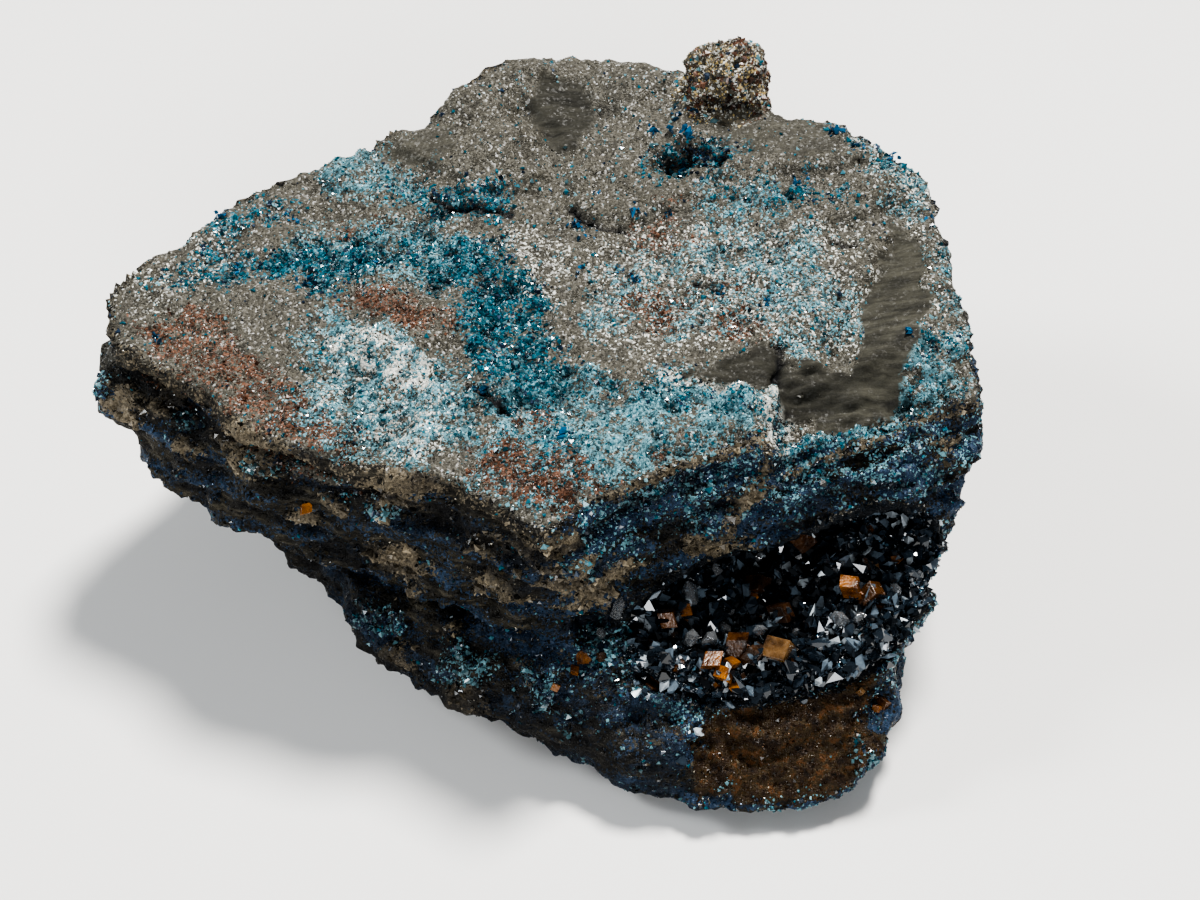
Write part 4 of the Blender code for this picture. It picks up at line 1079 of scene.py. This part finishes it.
def grain_kinds(rock, grains, points, zones):
    """Each kind of grain: its piece, weight, number, scale, glint, sinking, finish and colours.

    A colour is its chance, itself, and the zone that it belongs to, after the kind's own colour.
    """
    bare = np.clip(1.0 - 1.05 * zones["smooth"] - zones["pocket"], 0.0, 1.0) * (1 - zones["crack"])
    plain = np.clip(1.0 - zones["light"] - zones["deep"] - zones["rust"], 0.04, 1.0)
    high = (1.0 - zones["side"]) * bare
    low = zones["side"] * (points[:, 2] > 1.0)
    crusted = 0.14 + zones["navy"] + 0.8 * zones["lumps"] + 0.6 * zones["broken"] + 0.8 * zones["lip"]
    matte = grain_material("matrix grains", 0.32, 0.0)
    glassy = grain_material("blue grains", 0.18, 0.3)
    dark = grain_material("side grains", 0.24, 0.0)
    return [
        ("matrix_grains", (plain + zones["pale"]) * high,
         grains.matrix_count, 0.60, 0.5, -0.22, matte,
         [(1.0, rock.matrix_colour, None), (0.85, grains.pale_colour, "pale"),
          (0.8, rock.knob_colour, "knob"), (0.3, grains.pale_colour, "knob")]),
        ("light_blue_grains", (zones["light"] + 0.015 * zones["top"]) * bare,
         grains.light_count, 0.85, 0.9, -0.08, glassy,
         [(1.0, grains.light_colour, None), (0.16, grains.deep_colour, "all"),
          (0.3, rock.navy_colour, "side"), (0.85, grains.pale_colour, "pale")]),
        ("deep_blue_grains", (zones["deep"] + 0.015 * zones["top"]) * bare,
         grains.deep_count, 1.0, 0.5, -0.08, glassy,
         [(1.0, grains.deep_colour, None), (0.24, grains.light_colour, "all"),
          (0.35, grains.light_colour, "light"), (0.18, rock.navy_colour, "all")]),
        ("rusty_grains", zones["rust"] * bare,
         grains.rust_count, 0.85, 0.6, -0.15, matte,
         [(1.0, grains.rust_colour, None), (0.4, rock.matrix_colour, "all"),
          (0.3, grains.pale_colour, "pale")]),
        ("side_grains", low * bare * crusted * (1 - 0.9 * zones["sheet"]) + 1.5 * zones["rim"],
         grains.side_count, 0.95, 0.3, -0.2, dark,
         [(1.0, rock.side_colour, None), (0.85, rock.navy_colour, "navy"), (0.15, grains.deep_colour, "navy"),
          (0.07, grains.light_colour, "navy"), (0.34, grains.light_colour, "right front"),
          (0.9, rock.navy_colour, "rim"), (0.22, grains.light_colour, "lip"),
          (0.28, grains.light_colour, "rim"), (0.06, rock.tan_colour, "all"),
          (0.9, rock.tan_colour, "lumps"), (0.25, scaled(rock.tan_colour, 2.2), "lumps"),
          (0.95, rock.break_colour, "broken")]),
    ]


class StrewGrains(bpy.types.Operator):
    """Strew the rock with grains of each kind where that kind belongs"""

    bl_idname = "lazulite.grains"
    bl_label = "Grains"

    def execute(self, context):
        rock, grains = context.scene.lazulite_rock, context.scene.lazulite_grains
        mesh = shown_rock().data
        points, normals = points_of(mesh)
        zones = zones_of(points, normals)
        chance = np.random.default_rng(SEED)
        kinds = grain_kinds(rock, grains, points, zones)
        for name, weight, count, scale, glint, sink, finish, colours in kinds:
            place, normal, corner = spread_on(mesh, weight, count, chance)
            here = {key: share[corner] for key, share in zones.items()}
            size = grain_sizes(count, grains.small, grains.large, chance) * scale
            size *= (1.0 + 0.6 * here["knob"] + 0.4 * here["coarse"] + 0.8 * here["lumps"]
                     + 0.4 * here["blue lumps"])
            shade = 0.4 * chance.uniform(0, 1, count) + 0.6 * here["cluster"]
            range_of = 0.55 if name == "matrix_grains" else 0.9
            tone = tones_at(colours[0][1], shade, glint, range_of)
            glint_tone = np.tile(np.array(colours[0][1]), (count, 1))
            for strength, colour, zone in colours[1:]:
                taken = chance.uniform(0, 1, count) < strength * here[zone]
                tone[taken] = tones_at(colour, shade[taken], glint, range_of)
                glint_tone[taken] = colour
            # Painted glints: a few small grains take a pale tone of their colour
            bright = (chance.uniform(0, 1, count) < 0.09 * glint) & (size < 0.42 * scale)
            glint_tone = 0.5 * glint_tone / glint_tone.max(axis=1, keepdims=True) + 0.2
            tone[bright] = glint_tone[bright]
            # Painted shade darkens the grains in hollows, cracks and unlit places
            tone *= 1.0 - 0.75 * here["hollow"][:, None]
            strew(name, GRAIN_POINTS, GRAIN_FACES, place, normal, size, sink, tone, chance, "matrix", finish)
        return {"FINISHED"}


def height_finder(*objects):
    """A search tree over the shown meshes of some objects."""
    points, faces, start = [], [], 0
    for piece in objects:
        points += [tuple(vertex.co) for vertex in piece.data.vertices]
        faces += [[start + index for index in face.vertices] for face in piece.data.polygons]
        start = len(points)
    return BVHTree.FromPolygons(points, faces)


def top_places(tree, spots, above):
    """Where a line straight down from a height meets the surface, for each spot drawn from above."""
    found = []
    for x, y, size in spots:
        across, along = x + SHIFT[0], y + SHIFT[1]
        start = Vector((across * MM, along * MM, above(across, along) * MM))
        place, normal, _, _ = tree.ray_cast(start, Vector((0, 0, -1)))
        if place is None:
            raise RuntimeError(f"nothing lies under the crystal at {x}, {y}")
        found.append((np.array(place) / MM, np.array(normal), size))
    return found


def near_places(tree, spots):
    """The surface's nearest place to each spot in the part's frame."""
    found = []
    for x, y, z, size in spots:
        place, normal, _, _ = tree.find_nearest(Vector((x, y, z)) * MM)
        if place is None:
            raise RuntimeError(f"nothing lies near the crystal at {x}, {y}, {z}")
        found.append((np.array(place) / MM, np.array(normal), size))
    return found


class PlaceBlueSpots(bpy.types.Operator):
    """Set the single blue crystals on the top"""

    bl_idname = "lazulite.spots"
    bl_label = "Blue spots"

    def execute(self, context):
        chance = np.random.default_rng(SEED + 1)
        found = top_places(height_finder(shown_rock()), SPOTS, lambda x, y: 60.0)
        middles, normals, sizes = [], [], []
        for place, normal, size in found:
            for share in chance.uniform(0.45, 1.0, 7):
                aside = chance.normal(0, 0.42 * size, 3) * (1, 1, 0.15)
                middles.append(place + aside)
                normals.append(normal)
                sizes.append(size * share * 0.62)
        count = len(middles)
        tone = tones_at(context.scene.lazulite_grains.deep_colour, chance.uniform(0.05, 0.75, count))
        tone[:, 2] *= 1.5
        finish = grain_material("spot crystals", 0.12, 0.8)
        strew("blue_spots", WEDGE_POINTS, WEDGE_FACES, np.array(middles), np.array(normals), np.array(sizes),
              0.1, np.clip(tone, 0, 1), chance, "matrix", finish)
        return {"FINISHED"}


def crust_material(pocket):
    """The dark glassy druse under the larger crystals."""
    made, tree, shader = material("pocket druse")
    cells = use_group(tree, grain_cells_group(), {"Scale": 1900.0, "Facet Tilt": 1.6})
    deep = pocket.lazulite_colour
    colour = ramp_node(tree, cells.outputs["Shade"], [
        (0.0, (0.001, 0.002, 0.004)), (0.6, deep), (0.9, scaled(deep, 3.0)), (1.0, (0.10, 0.22, 0.30))])
    bump = add_node(tree, "ShaderNodeBump", {
        "Strength": 0.8, "Distance": 0.0003, "Height": cells.outputs["Height"],
        "Normal": cells.outputs["Normal"]})
    feed(tree, shader, {
        "Base Color": colour,
        "Roughness": gray_ramp(tree, cells.outputs["Pick"], [(0.0, 0.30), (1.0, 0.06)]),
        "Normal": bump.outputs["Normal"],
    })
    return made


class LinePocket(bpy.types.Operator):
    """Build the druse on the pocket's floor and line the whole pocket with small lazulite crystals"""

    bl_idname = "lazulite.druse"
    bl_label = "Pocket druse"

    def execute(self, context):
        pocket = context.scene.lazulite_pocket
        chance = np.random.default_rng(SEED + 2)
        mesh = fine_copy("pocket_crystals", DRUSE_CELL)
        points, normals = points_of(mesh)
        rise = 0.22 * roughness_at(points, 1.1, 21, 3) - 0.12
        move_points(mesh, points + normals * rise[:, None])
        mesh.materials.clear()
        mesh.materials.append(crust_material(pocket))
        druse = placed("pocket_druse", mesh, "crystals", "pocket_crystals")
        points, normals = points_of(mesh)
        rock = shown_rock().data
        zones = zones_of(*points_of(rock))
        upward = (normals[:, 2] > -0.1).astype(float)
        walls = np.maximum(zones["pocket"], 0.9 * zones["lip"]) + 2.5 * zones["rim"]
        floor_count = int(pocket.lazulite_count * 0.6)
        groups = [  # the piece, its ground and weight, number, scale and how far it stands out
            ("floor_lazulite", druse.data, upward, floor_count, 1.0, 0.18),
            ("wall_lazulite", rock, walls, pocket.lazulite_count - floor_count, 0.66, 0.02),
        ]
        finish = grain_material("lazulite", 0.07, 1.0)
        deep = np.array(pocket.lazulite_colour)
        for name, ground, weight, count, scale, sink in groups:
            place, normal, _ = spread_on(ground, weight, count, chance)
            size = grain_sizes(count, pocket.lazulite_small, pocket.lazulite_large, chance) * scale
            shade = chance.uniform(0, 1, (count, 1)) ** 1.5
            # Painted highlights: the lighter crystals take gray-blue and white tones for facets that catch
            # the light
            gray_blue, white = np.array((0.09, 0.11, 0.125)), np.array((0.36, 0.37, 0.36))
            tone = deep * (0.5 + 3.6 * shade) + gray_blue * (shade > 0.68) + white * (shade > 0.90)
            strew(name, WEDGE_POINTS, WEDGE_FACES, place, normal, size, sink, tone, chance, "crystals",
                  finish)
        return {"FINISHED"}


def rhomb_points():
    """Corners of a unit rhomb, a cube stretched a little along one diagonal."""
    edges = []
    for turn in (0.0, 2 * math.pi / 3, 4 * math.pi / 3):
        edges.append(Vector((0.85 * math.cos(turn), 0.85 * math.sin(turn), 0.53)))
    centre = sum(edges, Vector()) / 2
    corners = [(a, b, c) for a in (0, 1) for b in (0, 1) for c in (0, 1)]
    return [a * edges[0] + b * edges[1] + c * edges[2] - centre for a, b, c in corners]


PRISM_RADII = (0.36, 0.44, 0.33, 0.38, 0.45, 0.32)


def prism_points():
    """Corners of a stubby six-sided prism with a pointed cap at each end."""
    ring = [(r * math.cos(k * math.pi / 3), r * math.sin(k * math.pi / 3)) for k, r in enumerate(PRISM_RADII)]
    prism = [Vector((x, y, z)) for x, y in ring for z in (-0.5, 0.30)]
    return prism + [Vector((0.05, 0.02, 0.68))]


def cut_crystals(name, corners, found, bevel, chance, colours, finish):
    """A mesh of larger crystals, each the hull of its corners with fine worn edges and its own colour."""
    made = bmesh.new()
    tones = []
    for place, _, size in found:
        stretch = Matrix.Diagonal(Vector(chance.uniform(0.82, 1.18, 3)))
        turn = Matrix.Rotation(chance.uniform(0, 2 * math.pi), 3, "Z")
        tip = Matrix.Rotation(chance.uniform(-0.9, 0.9), 3, "X")
        tip = tip @ Matrix.Rotation(chance.uniform(-0.7, 0.7), 3, "Y")
        centre = Vector(place) + Vector((0, 0, 0.02 * size))
        one = bmesh.new()
        for corner in corners:
            one.verts.new((centre + turn @ tip @ stretch @ corner * size) * MM)
        bmesh.ops.convex_hull(one, input=one.verts)
        bmesh.ops.dissolve_limit(one, angle_limit=0.02, verts=one.verts, edges=one.edges)
        bmesh.ops.bevel(one, geom=one.edges, offset=bevel * size * MM, segments=1, affect="EDGES")
        bmesh.ops.recalc_face_normals(one, faces=one.faces)
        part = bpy.data.meshes.new("one crystal")
        one.to_mesh(part)
        one.free()
        made.from_mesh(part)
        tones += [colours[chance.integers(len(colours))]] * len(part.vertices)
        bpy.data.meshes.remove(part)
    mesh = bpy.data.meshes.new(name)
    made.to_mesh(mesh)
    made.free()
    set_colours(mesh, "crystal colour", np.array(tones))
    mesh.materials.append(finish)
    return placed(name, mesh, "crystals")


def siderite_material():
    """Amber, half clear, with darker clouds and fine lines of cleavage."""
    made, tree, shader = material("siderite")
    place = object_place(tree)
    own = add_node(tree, "ShaderNodeAttribute", attribute_name="crystal colour").outputs["Color"]
    clouded = ramp_node(tree, noise_node(tree, place, 520.0, 4.0), [
        (0.34, (0.22, 0.18, 0.14)), (0.50, (0.7, 0.66, 0.6)), (0.66, (1.0, 1.0, 1.0))])
    fine = noise_node(tree, place, 2400.0, 3.0)
    bump = add_node(tree, "ShaderNodeBump", {"Strength": 0.5, "Distance": 0.0002, "Height": fine})
    feed(tree, shader, {
        "Base Color": mix_colours(tree, 1.0, own, clouded, "MULTIPLY"),
        "Roughness": gray_ramp(tree, fine, [(0.35, 0.16), (0.7, 0.45)]),
        "Normal": bump.outputs["Normal"],
        "Transmission Weight": 0.35,
        "IOR": 1.6,
    })
    return made


def quartz_material(pocket):
    """Clear quartz with faint clouds."""
    made, tree, shader = material("quartz")
    cloud = noise_node(tree, object_place(tree), 700.0, 3.0)
    base = pocket.quartz_colour
    feed(tree, shader, {
        "Base Color": ramp_node(tree, cloud, [(0.35, scaled(base, 0.72)), (0.65, base)]),
        "Roughness": gray_ramp(tree, cloud, [(0.4, 0.02), (0.75, 0.14)]),
        "Transmission Weight": 0.86,
        "IOR": 1.54,
    })
    return made


class GrowCrystals(bpy.types.Operator):
    """Grow the amber siderite rhombs and the clear quartz in the pocket"""

    bl_idname = "lazulite.crystals"
    bl_label = "Siderite and quartz"

    def execute(self, context):
        pocket = context.scene.lazulite_pocket
        chance = np.random.default_rng(SEED + 3)
        ground = height_finder(bpy.data.objects["pocket_druse"], shown_rock())
        spots = list(SIDERITE)
        for x, y, size in SIDERITE:
            for apart, share in ((0.85, 0.5), (0.70, 0.4)):
                turn = chance.uniform(0, 2 * math.pi)
                reach = apart * size
                spots.append((x + reach * math.cos(turn), y + reach * math.sin(turn), share * size))
        siderite = top_places(ground, spots, pocket_middle) + near_places(ground, OUTER_SIDERITE)
        quartz = top_places(ground, QUARTZ, pocket_middle) + near_places(ground, OUTER_QUARTZ)
        druse = bpy.data.objects["pocket_druse"].data
        upward = (points_of(druse)[1][:, 2] > 0.2).astype(float)
        place, normal, _ = spread_on(druse, upward, SMALL_QUARTZ, chance)
        quartz += list(zip(place, normal, chance.uniform(0.8, 1.7, SMALL_QUARTZ)))
        amber = np.array(pocket.siderite_colour)
        browns = [amber * (1.35, 1.3, 0.7), 0.7 * amber, 0.32 * amber, amber * (0.65, 0.95, 2.2), amber,
                  0.16 * amber + 0.01]
        clear = [(1.0, 1.0, 1.0)]
        cut_crystals("siderite", rhomb_points(), siderite, 0.03, chance, browns, siderite_material())
        cut_crystals("quartz", prism_points(), quartz, 0.012, chance, clear, quartz_material(pocket))
        return {"FINISHED"}


def lay_floor(colour):
    """The plain pale floor under the rock."""
    far = FLOOR_REACH
    corners = np.array([(-far, -far, 0), (far, -far, 0), (far, far, 0), (-far, far, 0)], float)
    mesh = mesh_from("floor", corners, np.array([(0, 1, 2, 3)]))
    finish, tree, shader = material("plain floor")
    cloud = noise_node(tree, object_place(tree), 9.0, 3.0)
    feed(tree, shader, {
        "Base Color": ramp_node(tree, cloud, [(0.3, scaled(colour, 0.97)), (0.7, colour)]),
        "Roughness": 0.75,
    })
    mesh.materials.append(finish)
    floor = bpy.data.objects.new("floor", mesh)
    floor.location.z = -FLOOR_DROP * MM
    bpy.context.scene.collection.objects.link(floor)


def aimed(name, data, location, toward, axis):
    """A lamp or camera in its place, its axis turned to a direction."""
    holder = bpy.data.objects.new(name, data)
    holder.location = location * MM
    holder.rotation_mode = "QUATERNION"
    holder.rotation_quaternion = toward.to_track_quat(axis, "Y")
    bpy.context.scene.collection.objects.link(holder)
    return holder


class SetStage(bpy.types.Operator):
    """Lay the floor and set the camera, the soft lights and the pale room"""

    bl_idname = "lazulite.stage"
    bl_label = "Stage"

    def execute(self, context):
        stage = context.scene.lazulite_stage
        lay_floor(stage.floor_colour)
        world = bpy.data.worlds.new("pale room")
        world.use_nodes = True
        feed(world.node_tree, world.node_tree.nodes["Background"], {
            "Color": (0.93, 0.96, 1.0, 1.0),
            "Strength": stage.sky,
        })
        context.scene.world = world
        context.scene.view_settings.look = "AgX - High Contrast"
        lights = [  # the lamp, where it shines from, its softness in radians, its strength and its colour
            ("key light", (85, 178, 310), 0.24, stage.key_power, (1.0, 0.98, 0.95)),
            ("side light", (-335, 68, 220), 0.30, stage.side_power, (0.93, 0.97, 1.0)),
            ("fill light", (35, -352, 150), 0.45, stage.fill_power, (0.95, 0.97, 1.0)),
        ]
        for name, toward, spread, power, colour in lights:
            lamp = bpy.data.lights.new(name, "SUN")
            lamp.angle = spread
            lamp.energy = power
            lamp.color = colour
            aimed(name, lamp, Vector(toward), Vector(toward), "Z")
        look = bpy.data.cameras.new("camera")
        look.lens = 70
        look.sensor_width = 36
        look.clip_start, look.clip_end = 0.01, 10
        down = math.radians(CAMERA_DOWN)
        ahead = Vector((0, math.cos(down), -math.sin(down)))
        place = Vector(CAMERA_TARGET) - ahead * CAMERA_DISTANCE
        context.scene.camera = aimed("camera", look, place, ahead, "-Z")
        return {"FINISHED"}


class LazulitePanel(bpy.types.Panel):
    """The cluster's settings and steps"""

    bl_idname = "LAZULITE_PT_steps"
    bl_label = "Lazulite cluster"
    bl_space_type = "VIEW_3D"
    bl_region_type = "UI"
    bl_category = "Lazulite"

    def draw(self, context):
        groups = (
            (context.scene.lazulite_rock, ("lazulite.rock",)),
            (context.scene.lazulite_grains, ("lazulite.grains", "lazulite.spots")),
            (context.scene.lazulite_pocket, ("lazulite.druse", "lazulite.crystals")),
            (context.scene.lazulite_stage, ("lazulite.stage",)),
        )
        for settings, steps in groups:
            box = self.layout.box()
            for name in settings.__annotations__:
                box.prop(settings, name)
            for step in steps:
                box.operator(step)


CLASSES = (RockSettings, GrainSettings, PocketSettings, StageSettings, BuildRock, StrewGrains, PlaceBlueSpots,
           LinePocket, GrowCrystals, SetStage, LazulitePanel)


def register():
    """Adds the cluster's classes and settings."""
    for made in CLASSES:
        bpy.utils.register_class(made)
    bpy.types.Scene.lazulite_rock = PointerProperty(type=RockSettings)
    bpy.types.Scene.lazulite_grains = PointerProperty(type=GrainSettings)
    bpy.types.Scene.lazulite_pocket = PointerProperty(type=PocketSettings)
    bpy.types.Scene.lazulite_stage = PointerProperty(type=StageSettings)


def unregister():
    """Takes the cluster's settings and classes away again."""
    del bpy.types.Scene.lazulite_stage
    del bpy.types.Scene.lazulite_pocket
    del bpy.types.Scene.lazulite_grains
    del bpy.types.Scene.lazulite_rock
    for made in reversed(CLASSES):
        bpy.utils.unregister_class(made)


def main():
    """Builds the whole cluster and its stage."""
    register()
    bpy.ops.lazulite.rock()
    bpy.ops.lazulite.grains()
    bpy.ops.lazulite.spots()
    bpy.ops.lazulite.druse()
    bpy.ops.lazulite.crystals()
    bpy.ops.lazulite.stage()


if __name__ == "__main__":
    main()
